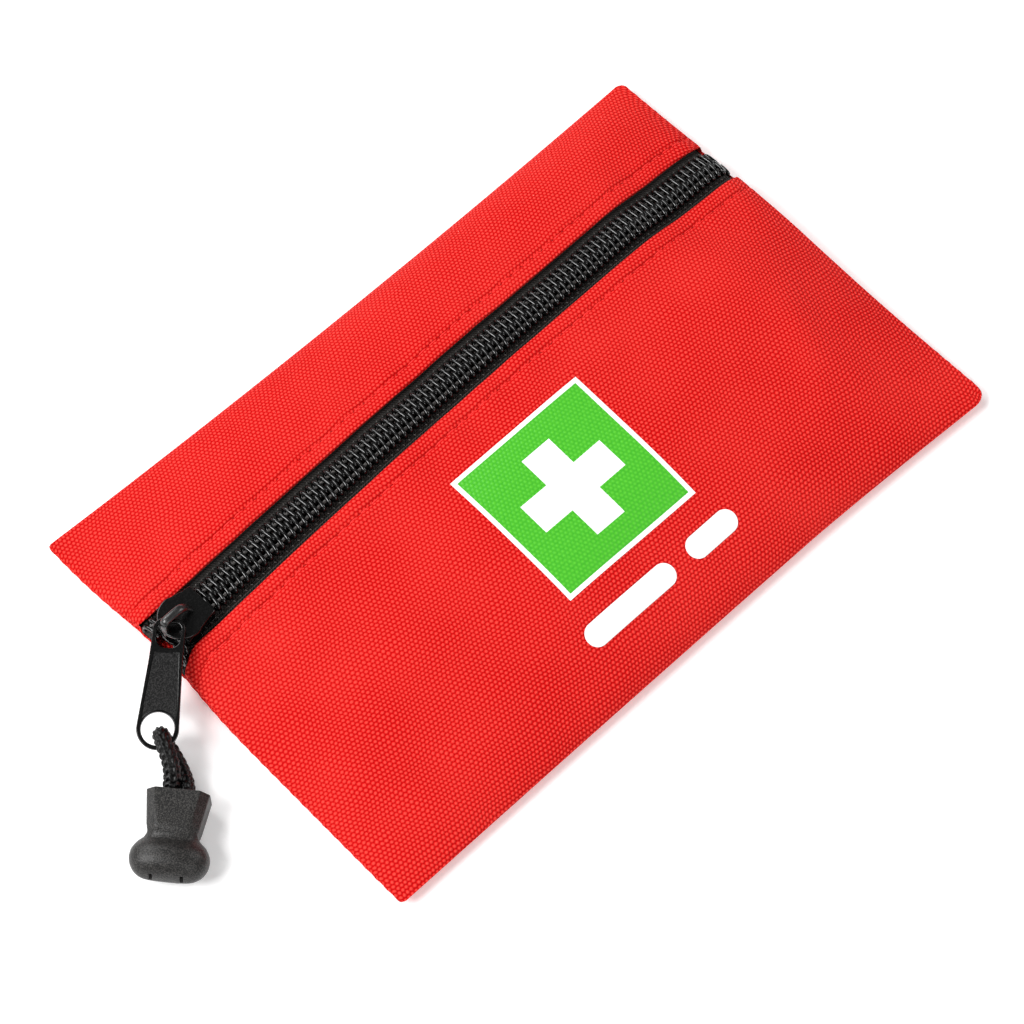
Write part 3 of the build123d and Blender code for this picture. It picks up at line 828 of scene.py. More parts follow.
@dataclass
class SideSeam:
    """The sewn short side: front and back meet edge to edge with the seam line sunk between them."""

    shape: PouchShape
    sunk: float = 0.5  # depth of the seam line
    nip: float = 0.12  # how far a stitch draws the edge in
    pitch: float = 2.8  # length of a stitch
    closed: float = 0.9  # height that the edge keeps under the zip
    mouth_high: float = 4.9  # from the zip's middle to the upper hem's end
    mouth_low: tuple[float, float] = (7.3, 4.9)  # the same for the lower hem, at the left and right ends

    def build(self, finish: Finishes, end: int, name: str, node: str) -> bpy.types.Object:
        """Makes one side's closing strip.

        Args:
            finish: The pouch's materials.
            end: -1 for the left side, 1 for the right.
            name: Name of the piece.
            node: The CAD node that it stands for.

        Returns:
            The strip.
        """
        shape = self.shape
        ys = np.linspace(-shape.half_y, shape.half_y, 240)
        x = np.full_like(ys, end * shape.half_x)
        high, low = shape.top(x, ys), shape.bottom(x, ys)
        new_x, new_y = shape.warp(x, ys)
        across = ys - shape.zip_line(x)
        mouth = (across < self.mouth_high) & (across > -self.mouth_low[end > 0])
        high = np.where(mouth, np.minimum(high, low + self.closed), high)
        nip = self.nip * np.abs(np.sin(ys * math.pi / self.pitch))
        # From the front's edge to the back's: two round lips with the seam line sunk between them.
        lip = ((0.0, 0.0), (0.2, -0.22), (0.4, -0.05))
        section = (*lip, (0.5, self.sunk), (0.6, -0.05), (0.8, -0.22), (1.0, 0.0))
        rows = []
        for part, inward in section:
            pull = end * (inward + nip * (part in (0.2, 0.8)))
            rows.append(np.stack([new_x - pull, new_y, high + (low - high) * part], -1))
        uv = np.vstack([np.stack([np.full_like(ys, 0.4 * i), ys], -1) for i in range(len(rows))])
        strip = mesh_piece(name, np.vstack(rows), grid_faces(len(rows), len(ys)), finish.cloth, uv)
        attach(strip, "pouch")
        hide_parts(node)
        return strip


@dataclass
class Topstitch:
    """A row of lock stitches that holds each hem to its tape."""

    shape: PouchShape
    across: float = 8.55  # from the zip's middle
    pitch: float = 2.8
    length: float = 2.2
    width: float = 0.34
    thick: float = 0.28
    level: float = -0.24  # the thread lies in its groove
    dip: float = 0.22  # how far its ends dive to the needle holes
    hole: float = 0.13  # radius of a needle hole

    def build(self, finish: Finishes, side: Side) -> None:
        """Makes one row of stitches and the discs of painted shade in its needle holes.

        Args:
            finish: The pouch's materials.
            side: The side of the zip.
        """
        stitches, holes = [], []
        for x in np.arange(-71.5, 72, self.pitch):
            along = np.linspace(-0.5, 0.5, 7)
            rows = []
            for a in along:
                fat = math.sqrt(max(0.02, 1 - (2 * a) ** 4))
                level = self.level - self.dip * (2 * a) ** 4
                turn = np.linspace(0, 2 * math.pi, 8, endpoint=False)
                place_x = np.full(8, x + a * self.length)
                across = side.value * self.across + 0.5 * self.width * fat * np.cos(turn)
                level = level + self.thick / 2 * fat * np.sin(turn)
                rows.append(self.shape.beside_zip(place_x, across, level))
            stitches.append((np.vstack(rows), grid_faces(7, 8, closed=True)))
            # Each needle hole is a flat dark red disc: painted shade where the pierced cloth lies in shade.
            turn = np.linspace(0, 2 * math.pi, 10, endpoint=False)
            centre = x + self.pitch / 2
            hole = self.shape.beside_zip(
                centre + self.hole * np.cos(turn), side.value * self.across + self.hole * np.sin(turn), -0.2
            )
            holes.append((hole, [tuple(range(10))]))
        word = side.name.lower()
        rows = (("topstitch", stitches, finish.thread), ("painted_hole_shades", holes, finish.painted_hole_shade))
        for kind, parts, material in rows:
            row = mesh_piece(f"{kind}_row_{word}", *joined(parts), material)
            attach(row, "pouch")
            if kind == "topstitch":
                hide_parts(f"topstitch_{word}")


# ---------------------------------------------------------------- zip
@dataclass
class ZipChain:
    """Two tapes, two interlocked nylon coils and the rows of thread that sew the coils down."""

    shape: PouchShape
    pitch: float = 1.5  # one tooth to the next
    wire: float = 0.43  # radius of the coil's wire
    core_wire: float = 0.36  # radius of the filler cord
    tape_level: float = -1.2  # below the cloth's level
    outer: float = 3.0  # from the zip's middle to a coil's outer side
    reach: float = 0.45  # how far a tooth's head passes the middle
    first: float = -74.6
    widest_high: float = 1.9  # how far each half stands off at the left end
    widest_low: float = 3.5
    # Each half's row of sewing: distance from the middle, half width and length of a stitch.
    sewn_high: tuple[float, float, float] = (3.95, 0.19, 0.4)
    sewn_low: tuple[float, float, float] = (3.75, 0.2, 0.5)

    def spread(self, x: np.ndarray, side: Side) -> np.ndarray:
        """How far a half stands off the middle: the chain parts in front of the slider.

        Args:
            x: Places along the zip.
            side: The side of the zip.

        Returns:
            The distances.
        """
        widest = self.widest_high if side is Side.UPPER else self.widest_low
        return widest * np.clip((-x - 69.0) / 4.5, 0, 1) ** 1.2

    def tape(self, finish: Finishes, side: Side) -> None:
        """Makes one tape.

        Args:
            finish: The pouch's materials.
            side: The side of the zip.
        """
        shape, s = self.shape, side.value
        xs = np.concatenate([[-75.0, -74.95, -74.8], np.linspace(-74.6, 74.6, 240), [74.8, 74.95, 75.0]])
        ts = np.concatenate([[0.0, 0.6, 1.2, 2.0, 2.6, 3.0], np.arange(3.3, 5.6, 0.13), [6.0, 7.0, 8.4]])
        x, t = np.meshgrid(xs, ts, indexing="ij")
        # Raised warp ribs show on the lower tape, between the coil and the hem.
        ribs = 0.16 * np.cos((t - 4.0) * 2 * math.pi / 0.8) * (t > 3.5) * (t < 5.4) * (side is Side.LOWER)
        # The tape dips under the sewing, waves a little outside it and rolls down at both ends.
        dip = 0.25 * np.exp(-(((t - 3.6) / 0.7) ** 2))
        lift = self.tape_level + ribs - dip + 0.1 * np.sin(x / 3.1) * (t > 4)
        lift = lift - 1.5 * np.clip((np.abs(x) - 74.3) / 0.7, 0, 1) ** 2 * np.clip(7.5 - t, 0, 1)
        t = t + self.spread(x, side) * np.clip(1 - t / 7.6, 0, 1) * 0.9
        points = shape.beside_zip(x, s * t, lift)
        uv = np.stack([x, t], -1)
        word = side.name.lower()
        material = finish.tape if side is Side.UPPER else finish.tape_ribbed
        tape = mesh_piece(
            f"tape_{word}", points.reshape(-1, 3), grid_faces(len(xs), len(ts)), material, uv.reshape(-1, 2)
        )
        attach(tape, "pouch")
        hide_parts(f"zip_tape_{word}")

    def coil(self, finish: Finishes, side: Side) -> None:
        """Makes one coil: each turn lies on the tape, loops over and ends in a head at the middle.

        Args:
            finish: The pouch's materials.
            side: The side of the zip.
        """
        # One turn: place along the zip in turns, distance from the middle, height above the tape.
        out, head = self.outer, -self.reach
        turn = [(0.00, 2.45, 0.34), (0.06, out - 0.1, 0.62), (0.12, out, 1.0), (0.18, 2.7, 1.42),
                (0.25, 2.1, 1.62), (0.32, 1.3, 1.66), (0.40, 0.45, 1.62), (0.47, head, 1.4),
                (0.50, head - 0.15, 0.98), (0.53, head, 0.6), (0.62, 0.5, 0.36), (0.80, 1.5, 0.33)]
        # The halves are half a pitch apart, so that their heads mesh.
        shift = 0.0 if side is Side.UPPER else 0.5
        count = int(150.5 / self.pitch)
        run = np.array([(n + shift + along, t, h) for n in range(count) for along, t, h in turn])
        run[:, 0] = self.first + self.pitch * run[:, 0]
        run = run[np.abs(run[:, 0]) < 75.3]
        x, across, height = run.T
        # The last turns curl down into the sewn sides.
        curl = 1.7 * np.clip((np.abs(x) - 73.0) / 2.2, 0, 1) ** 2
        across = side.value * (across + self.spread(x, side))
        points = self.shape.beside_zip(x, across, self.tape_level + height - curl)
        line = curve_mesh(nurbs(points.tolist(), "coil_line", 2))
        centres = np.array([v.co[:] for v in line.vertices]) / MM
        word = side.name.lower()
        coil = mesh_piece(f"coil_{word}", *wire_ring(centres, self.wire, 7), finish.nylon)
        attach(coil, "pouch")
        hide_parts(f"zip_coil_{word}")

    def core(self, finish: Finishes, side: Side) -> None:
        """Makes the filler cord that runs inside a coil.

        Args:
            finish: The pouch's materials.
            side: The side of the zip.
        """
        xs = np.linspace(-74.2, 74.2, 260)
        points = self.shape.beside_zip(xs, side.value * (1.7 + self.spread(xs, side)), self.tape_level + 0.95)
        word = side.name.lower()
        core = mesh_piece(f"core_{word}", *wire_ring(points, self.core_wire, 8), finish.dots)
        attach(core, "pouch")
        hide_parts(f"coil_core_{word}")

    def sewing(self, finish: Finishes, side: Side) -> None:
        """Makes the stitches that hold a coil to its tape, one for each tooth.

        Args:
            finish: The pouch's materials.
            side: The side of the zip.
        """
        centre, half, long = self.sewn_low if side is Side.LOWER else self.sewn_high
        angle = np.linspace(0, 2 * math.pi, 6, endpoint=False)
        parts = []
        for x in np.arange(-73.5, 74, self.pitch):
            rings = []
            for a in (-0.5, -0.3, 0.0, 0.3, 0.5):
                fat = math.sqrt(max(0.03, 1 - (2 * a) ** 2))
                place_x = np.full(6, x + a * long * 0.6)
                t = centre + a * long + half * fat * np.cos(angle) * 0.8 + self.spread(place_x, side)
                level = self.tape_level + 0.3 + half * fat * np.sin(angle)
                rings.append(self.shape.beside_zip(place_x, side.value * t, level))
            parts.append((np.vstack(rings), grid_faces(5, 6, closed=True)))
        row = mesh_piece(f"coil_sewing_{side.name.lower()}", *joined(parts), finish.dots)
        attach(row, "pouch")

    def build(self, finish: Finishes) -> None:
        """Makes both halves of the chain.

        Args:
            finish: The pouch's materials.
        """
        for side in Side:
            self.tape(finish, side)
            self.coil(finish, side)
            self.core(finish, side)
            self.sewing(finish, side)
            log.info("zip half %s", side.name.lower())


# ---------------------------------------------------------------- print
@dataclass
class SignPrint:
    """A square safety sign and two plain bars, pressed on the lower panel."""

    shape: PouchShape
    centre: tuple[float, float] = (1.3, -13.4)
    side: float = 32.4
    border: float = 0.95
    span: float = 20.4  # the cross from end to end
    arm: float = 7.0
    bar_y: float = -37.2
    bar_height: float = 4.6
    bar_lengths: tuple[float, float] = (22.0, 12.0)
    bar_gap: float = 4.0
    film: float = 0.1  # height above the cloth
    cell: float = 0.6  # the film's grid follows the cloth this closely

    def patch(
        self, name: str, xs: np.ndarray, ys: np.ndarray, keep: np.ndarray, material: bpy.types.Material
    ) -> None:
        """Makes a film from the kept cells of a grid laid on the cloth.

        Args:
            name: Name of the piece, which is the CAD node's name with _film added.
            xs: Grid lines along X.
            ys: Grid lines along Y.
            keep: Cell mask, one smaller than the lines on each side.
            material: The film's finish.
        """
        x, y = np.meshgrid(xs, ys, indexing="ij")
        points = self.shape.place(x, y, self.film).reshape(-1, 3)
        uv = np.stack([x, y], -1).reshape(-1, 2)
        quads = [f for f, k in zip(grid_faces(len(xs), len(ys)), keep.ravel()) if k]
        used = sorted({i for f in quads for i in f})
        index = {old: new for new, old in enumerate(used)}
        faces = [tuple(index[i] for i in f)[::-1] for f in quads]
        film = mesh_piece(name + "_film", points[used], faces, material, uv[used])
        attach(film, "pouch")
        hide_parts(name)

    def lines(self, *marks: float) -> np.ndarray:
        """Grid lines through every mark, close enough to follow the cloth.

        Args:
            marks: Places that need a line.

        Returns:
            The lines' places in order.
        """
        marks = sorted(marks)
        runs = []
        for a, b in zip(marks, marks[1:]):
            runs.append(np.linspace(a, b, max(2, int((b - a) / self.cell) + 1))[:-1])
        return np.concatenate([*runs, [marks[-1]]])

    def build(self, finish: Finishes) -> None:
        """Makes the field, its border, the cross and the bars.

        Args:
            finish: The pouch's materials.
        """
        cx, cy = self.centre
        h, b, s, a = self.side / 2, self.border, self.span / 2, self.arm / 2
        marks = (-h, -h + b, -s, -a, a, s, h - b, h)
        xs, ys = self.lines(*(cx + m for m in marks)), self.lines(*(cy + m for m in marks))
        mx, my = np.meshgrid((xs[:-1] + xs[1:]) / 2 - cx, (ys[:-1] + ys[1:]) / 2 - cy, indexing="ij")
        edge = np.maximum(abs(mx), abs(my)) > h - b
        cross = ((abs(mx) < s) & (abs(my) < a)) | ((abs(my) < s) & (abs(mx) < a))
        self.patch("sign_border", xs, ys, edge, finish.white)
        self.patch("sign_cross", xs, ys, cross, finish.white)
        self.patch("sign_field", xs, ys, ~edge & ~cross, finish.green)
        parts, uvs = [], []
        start = cx - (sum(self.bar_lengths) + self.bar_gap) / 2
        r = self.bar_height / 2
        for length in self.bar_lengths:
            px = start + length * (0.5 - 0.5 * np.cos(np.linspace(0, math.pi, 40)))
            inset = np.clip((r - np.minimum(px - start, start + length - px)) / r, 0, 1)
            half = r * np.sqrt(np.clip(1 - inset**2, 0, 1)) + 1e-3
            share = np.linspace(-1, 1, 9)
            x = np.repeat(px[:, None], 9, 1)
            y = self.bar_y + half[:, None] * share
            parts.append((self.shape.place(x, y, self.film).reshape(-1, 3), grid_faces(40, 9)))
            uvs.append(np.stack([x, y], -1).reshape(-1, 2))
            start += length + self.bar_gap
        points, faces = joined(parts)
        bars = mesh_piece("print_bars_film", points, [f[::-1] for f in faces], finish.white, np.vstack(uvs))
        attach(bars, "pouch")
        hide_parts("print_bars")
        log.info("sign and bars")


# ---------------------------------------------------------------- slider, pull and cord
def outline_solid(
    name: str,
    loops: list[list[tuple[float, float]]],
    bottom: float,
    top: float,
    bevel: float,
    matrix: Matrix,
    material: bpy.types.Material,
) -> bpy.types.Object:
    """A plate with rounded rims from flat outlines.

    Args:
        name: Name of the piece.
        loops: The outer outline and then the holes, in millimetres.
        bottom: Lower face.
        top: Upper face.
        bevel: Rounding of the rims.
        matrix: Places the outline's plane in the row frame, in metres.
        material: The finish.

    Returns:
        The plate.
    """
    curve = bpy.data.curves.new(name, "CURVE")
    curve.dimensions = "2D"
    curve.fill_mode = "BOTH"
    curve.extrude = ((top - bottom) / 2 - bevel) * MM
    curve.bevel_depth = bevel * MM
    curve.bevel_resolution = 3
    curve.offset = -bevel * MM
    for loop in loops:
        spline = curve.splines.new("POLY")
        spline.points.add(len(loop) - 1)
        for knot, (x, y) in zip(spline.points, loop):
            knot.co = (x * MM, y * MM, 0, 1)
        spline.use_cyclic_u = True
    mesh = curve_mesh(curve)
    mesh.transform(matrix @ Matrix.Translation((0, 0, (top + bottom) / 2 * MM)))
    mesh.name = name
    mesh.materials.clear()
    mesh.materials.append(material)
    piece = bpy.data.objects.new(name, mesh)
    bpy.context.scene.collection.objects.link(piece)
    mesh.shade_smooth()
    mesh.set_sharp_from_angle(angle=math.radians(32))
    return piece


def arc(centre: tuple[float, float], radius: float, start: float, end: float, count: int = 16) -> list:
    """Points on an arc, with angles in degrees."""
    angles = np.radians(np.linspace(start, end, count))
    return [(centre[0] + radius * math.cos(a), centre[1] + radius * math.sin(a)) for a in angles]


@dataclass
class Slider:
    """Die-cast zip slider: two plates, side lips, a post and a bail for the tab."""

    along: float = -67.7  # place on the zip at rest
    skew: float = 1.3  # degrees that the zip leans off X
    zip_y: float = 19.75
    plate_top: float = 9.12
    plate: float = 0.8  # thickness of a plate
    length: float = 9.8
    tail: float = 7.4  # width at the straight end
    lobes: float = 9.6  # width at the round end
    lower_top: float = 5.98
    lip_bottom: float = 6.62
    rim: float = 0.22  # rounding of the upper plate's edge
    post_radius: float = 0.4
    bail_gap: float = 2.8
    bail_thick: float = 1.0
    bail_width: float = 1.75
    bail_front: float = -4.45
    bail_rear: float = 1.7

    def matrix(self) -> Matrix:
        """The slider's own plane in the row frame.

        Returns:
            A matrix in metres: X towards the tail, Z up.
        """
        turn = math.radians(self.skew)
        place = (self.along * math.cos(turn), self.zip_y + self.along * math.sin(turn), 0)
        return Matrix.Translation(Vector(place) * MM) @ Matrix.Rotation(turn, 4, "Z")

    def plan(self) -> list[tuple[float, float]]:
        """Outline of a plate: a straight tail that swells to a round nose.

        Returns:
            The outline's points.
        """
        tail_u = self.length / 2
        wide, narrow = self.lobes / 2 - 0.15, self.tail / 2
        side = [(tail_u, narrow - 0.35), (tail_u - 0.15, narrow - 0.15), (3.2, narrow + 0.05)]
        side += [(1.8, narrow + 0.35), (0.8, wide - 0.35), (0.2, wide - 0.08)]
        nose = arc((-self.length / 2 + wide, 0), wide, 92, 268, 40)
        return side + nose + [(u, -v) for u, v in reversed(side)]

    def build(self, finish: Finishes) -> None:
        """Makes the body and the bail.

        Args:
            finish: The pouch's materials.
        """
        place, enamel = self.matrix(), finish.enamel
        under = self.plate_top - self.plate
        body = outline_solid("slider_plates", [self.plan()], under, self.plate_top, self.rim, place, enamel)
        top = self.lower_top
        lower = outline_solid("slider_lower", [self.plan()], top - self.plate, top, 0.15, place, enamel)
        pieces = [body, lower]
        for n, s in enumerate((1, -1)):
            rail = [(3.6, 3.15), (3.6, 3.6), (-0.2, 4.2), (-2.6, 4.6), (-2.6, 4.1), (-0.2, 3.65)]
            rail = [(u, s * v) for u, v in rail][::s]
            pieces.append(
                outline_solid(f"slider_lip_{n}", [rail], self.lip_bottom, under + 0.1, 0.1, place, enamel)
            )
        r = self.post_radius
        section = arc((-2.2, 0), r, -90, 90) + arc((-4.4, 0), r, 90, 270)
        post_low, post_high = top - 0.4, under + 0.2  # let into both plates
        pieces.append(outline_solid("slider_post", [section], post_low, post_high, 0.05, place, enamel))
        for piece in pieces:
            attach(piece, "slider")
        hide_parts("slider_body")
        self.bail(finish, place)
        log.info("slider")

    def bail(self, finish: Finishes, place: Matrix) -> None:
        """Makes the bridge over the plate: flat wire that rises at the nose and lands behind the middle.

        Args:
            finish: The pouch's materials.
            place: The slider's own plane.
        """
        base = self.plate_top
        top = base + self.bail_gap + self.bail_thick / 2
        front, rear = self.bail_front, self.bail_rear
        line = [(front + 0.15, base - 0.3), (front - 0.02, base + 0.9), (front, top - 0.9),
                (front + 0.3, top - 0.12), (front + 1.3, top + 0.02), (-1.6, top), (-0.3, top - 0.15),
                (0.6, top - 1.0), (rear - 0.2, base + 0.6), (rear + 0.05, base - 0.3)]
        curve = nurbs([(u, 0, z) for u, z in line], "bail_line", 10)
        centres = np.array([v.co[:] for v in curve_mesh(curve).vertices]) / MM
        ahead = np.gradient(centres, axis=0)
        ahead /= np.linalg.norm(ahead, axis=1, keepdims=True)
        side = np.array([0.0, 1.0, 0.0])
        angle = np.linspace(0, 2 * math.pi, 20, endpoint=False)[:, None]
        flat = np.cos(angle) * self.bail_width / 2
        thick = np.sin(angle) * (self.bail_thick / 2 + 0.06)
        rows = [centre + flat * side + thick * np.cross(along, side) for centre, along in zip(centres, ahead)]
        faces = grid_faces(len(rows), 20, closed=True)
        # The bail's enamel is painted a lighter grey to stand for part of its broad highlight.
        bail = mesh_piece("bail_bridge", np.vstack(rows), faces, finish.bail_sheen_enamel)
        bail.data.transform(place)
        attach(bail, "slider")
        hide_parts("slider_bail")


@dataclass
class PullTab:
    """Stamped and enamelled tab with an eye for the bail and a hole for the cord."""

    pivot: tuple[float, float, float] = (-70.532, 18.149, 10.92)
    yaw: float = -139.0  # degrees from X in plan
    drop: float = 13.0  # degrees below the level
    thick: float = 1.0
    head: float = 6.0  # width at the eye
    eye: float = 4.5  # width of the eye
    eye_end: float = 5.2
    hole_at: float = 20.2
    hole: float = 6.2
    end: float = 7.8  # width at the cord hole
    rim: float = 0.75
    sunk: float = 0.17  # depth of the grained panel

    def matrix(self) -> Matrix:
        """The tab's own plane in the row frame: X along the tab, Z out of its face.

        Returns:
            A matrix in metres.
        """
        yaw, drop = math.radians(self.yaw), math.radians(self.drop)
        along = Vector((math.cos(drop) * math.cos(yaw), math.cos(drop) * math.sin(yaw), -math.sin(drop)))
        face = Vector((math.sin(drop) * math.cos(yaw), math.sin(drop) * math.sin(yaw), math.cos(drop)))
        side = face.cross(along)
        turn = Matrix((along, side, face)).transposed().to_4x4()
        return Matrix.Translation(Vector(self.pivot) * MM) @ turn

    def outer(self, inset: float = 0.0) -> list[tuple[float, float]]:
        """The tab's outline: a round-topped head and a round end about the cord hole.

        Args:
            inset: Distance in from the edge.

        Returns:
            The outline's points.
        """
        h, e = self.head / 2 - inset, self.end / 2 - inset
        points = arc((1.75, -(h - 2.15)), 2.15, -90, -168, 9)
        points += arc((1.75, h - 2.15), 2.15, 168, 90, 9)
        points += [(4.0, h), (8.0, h + 0.12)]
        points += arc((self.hole_at, 0), e, 92, -92, 40)
        points += [(8.0, -h - 0.12), (4.0, -h)]
        return points

    def eye_loop(self, inset: float = 0.0) -> list[tuple[float, float]]:
        """The eye: square at the bail and rounded at its far end.

        Args:
            inset: Distance out from the eye's edge.

        Returns:
            The outline's points.
        """
        h = self.eye / 2 + inset
        start, end = 0.42 - inset, self.eye_end + inset
        return (
            arc((start + 1.2, -h + 1.2), 1.2, 180, 270, 7)
            + arc((end - 1.9, -h + 1.9), 1.9, 270, 360, 9)
            + arc((end - 1.9, h - 1.9), 1.9, 0, 90, 9)
            + arc((start + 1.2, h - 1.2), 1.2, 90, 180, 7)
        )

    def build(self, finish: Finishes) -> None:
        """Makes the tab with its glossy rims and the grained recess on both faces.

        Args:
            finish: The pouch's materials.
        """
        place = self.matrix()
        h, e = self.head / 2 - self.rim, self.end / 2 - self.rim
        hole = arc((self.hole_at, 0), self.hole / 2, 0, 351, 40)
        start = self.eye_end + 0.9
        stop = self.hole_at - self.hole / 2 - 0.1
        cut = [(start, -h), (stop - 1.2, -e + 0.1)]
        cut += arc((self.hole_at, 0), self.hole / 2 + 0.42, 240, 120, 16)
        cut += [(stop - 1.2, e - 0.1), (start, h)]
        half = self.thick / 2
        frame_loops = [self.outer(), self.eye_loop(), cut, hole]
        rims = outline_solid("tab_rims", frame_loops, -half, half, 0.16, place, finish.enamel)
        wider_hole = arc((self.hole_at, 0), self.hole / 2 + 0.2, 0, 351, 40)
        panel_loops = [self.outer(0.3), self.eye_loop(0.25), wider_hole]
        half -= self.sunk
        core = outline_solid("tab_core", panel_loops, -half, half, 0.03, place, finish.recess)
        for piece in (rims, core):
            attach(piece, "pull")
        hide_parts("pull_tab")
        log.info("pull tab")


@dataclass
class PullCord:
    """A knitted cord, doubled through the tab's hole, with both ends held in the cord end."""

    diameter: float = 3.0
    columns: int = 5  # wales round the cord
    stitch: float = 1.4  # length of a stitch
    sunk: float = 0.57  # depth of the gaps between stitches
    crown: float = 0.72  # height of a stitch over the gaps
    # The same route as the CAD cord: out of the cord end, through the hole and back.
    route: tuple = (
        (-0.095545, -0.008622, 0.0042),
        (-0.091128, -0.004863, 0.0043),
        (-0.088411, -0.002561, 0.007747),
        (-0.086231, 0.003442, 0.009344),
        (-0.08511, 0.004416, 0.002913),
        (-0.086584, -0.002297, 0.002358),
        (-0.089054, -0.0073, 0.0041),
        (-0.093471, -0.011059, 0.0042),
    )

    def build(self, finish: Finishes, end_pieces: list[bpy.types.Object]) -> bpy.types.Object:
        """Knits the cord along its line.

        Args:
            finish: The pouch's materials.
            end_pieces: The pieces of the cord end; not used.

        Returns:
            The cord.
        """
        curve = nurbs([tuple(c / MM for c in point) for point in self.route], "cord_line", 40)
        line = np.array([v.co[:] for v in curve_mesh(curve).vertices]) / MM
        steps = np.linalg.norm(np.diff(line, axis=0), axis=1)
        reach = np.concatenate([[0], np.cumsum(steps)])
        length = float(reach[-1])
        runs = np.linspace(0, length, int(length / 0.09))
        centres = np.stack([np.interp(runs, reach, line[:, i]) for i in range(3)], -1)
        for _ in range(6):
            centres[1:-1] = (centres[:-2] + 2 * centres[1:-1] + centres[2:]) / 4
        ahead = np.gradient(centres, axis=0)
        ahead /= np.linalg.norm(ahead, axis=1, keepdims=True)
        count = self.columns * 9
        turn = np.linspace(0, 2 * math.pi, count, endpoint=False)
        # Each wale is a column of V stitches: two legs that lean out from its middle.
        cell = (turn / (2 * math.pi) * self.columns + 0.5) % 1 - 0.5
        side = np.cross(ahead[0], (0, 0, 1))
        leg = np.sqrt(np.clip(1 - ((np.abs(cell) - 0.25) / 0.25) ** 2, 0, 1))
        leg = np.where(np.abs(cell) < 0.25, np.maximum(leg, 0.45), leg)
        rows = []
        for centre, along, run in zip(centres, ahead, runs):
            side = side - along * side.dot(along)
            side /= np.linalg.norm(side)
            up = np.cross(along, side)
            beat = (run / self.stitch - 1.35 * np.abs(cell)) % 1
            bead = np.sqrt(np.clip(1 - (2 * beat - 1) ** 2, 0, 1))
            radius = self.diameter / 2 - self.sunk + self.crown * leg**0.6 * (0.15 + 0.85 * bead)
            outward = np.cos(turn)[:, None] * side + np.sin(turn)[:, None] * up
            rows.append(centre + radius[:, None] * outward)
        faces = grid_faces(len(rows), count, closed=True)
        cord = mesh_piece("knitted_cord", np.vstack(rows), faces, finish.cord)
        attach(cord, "cord")
        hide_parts("pull_cord")
        log.info("cord: %.1f mm", length)
        return cord


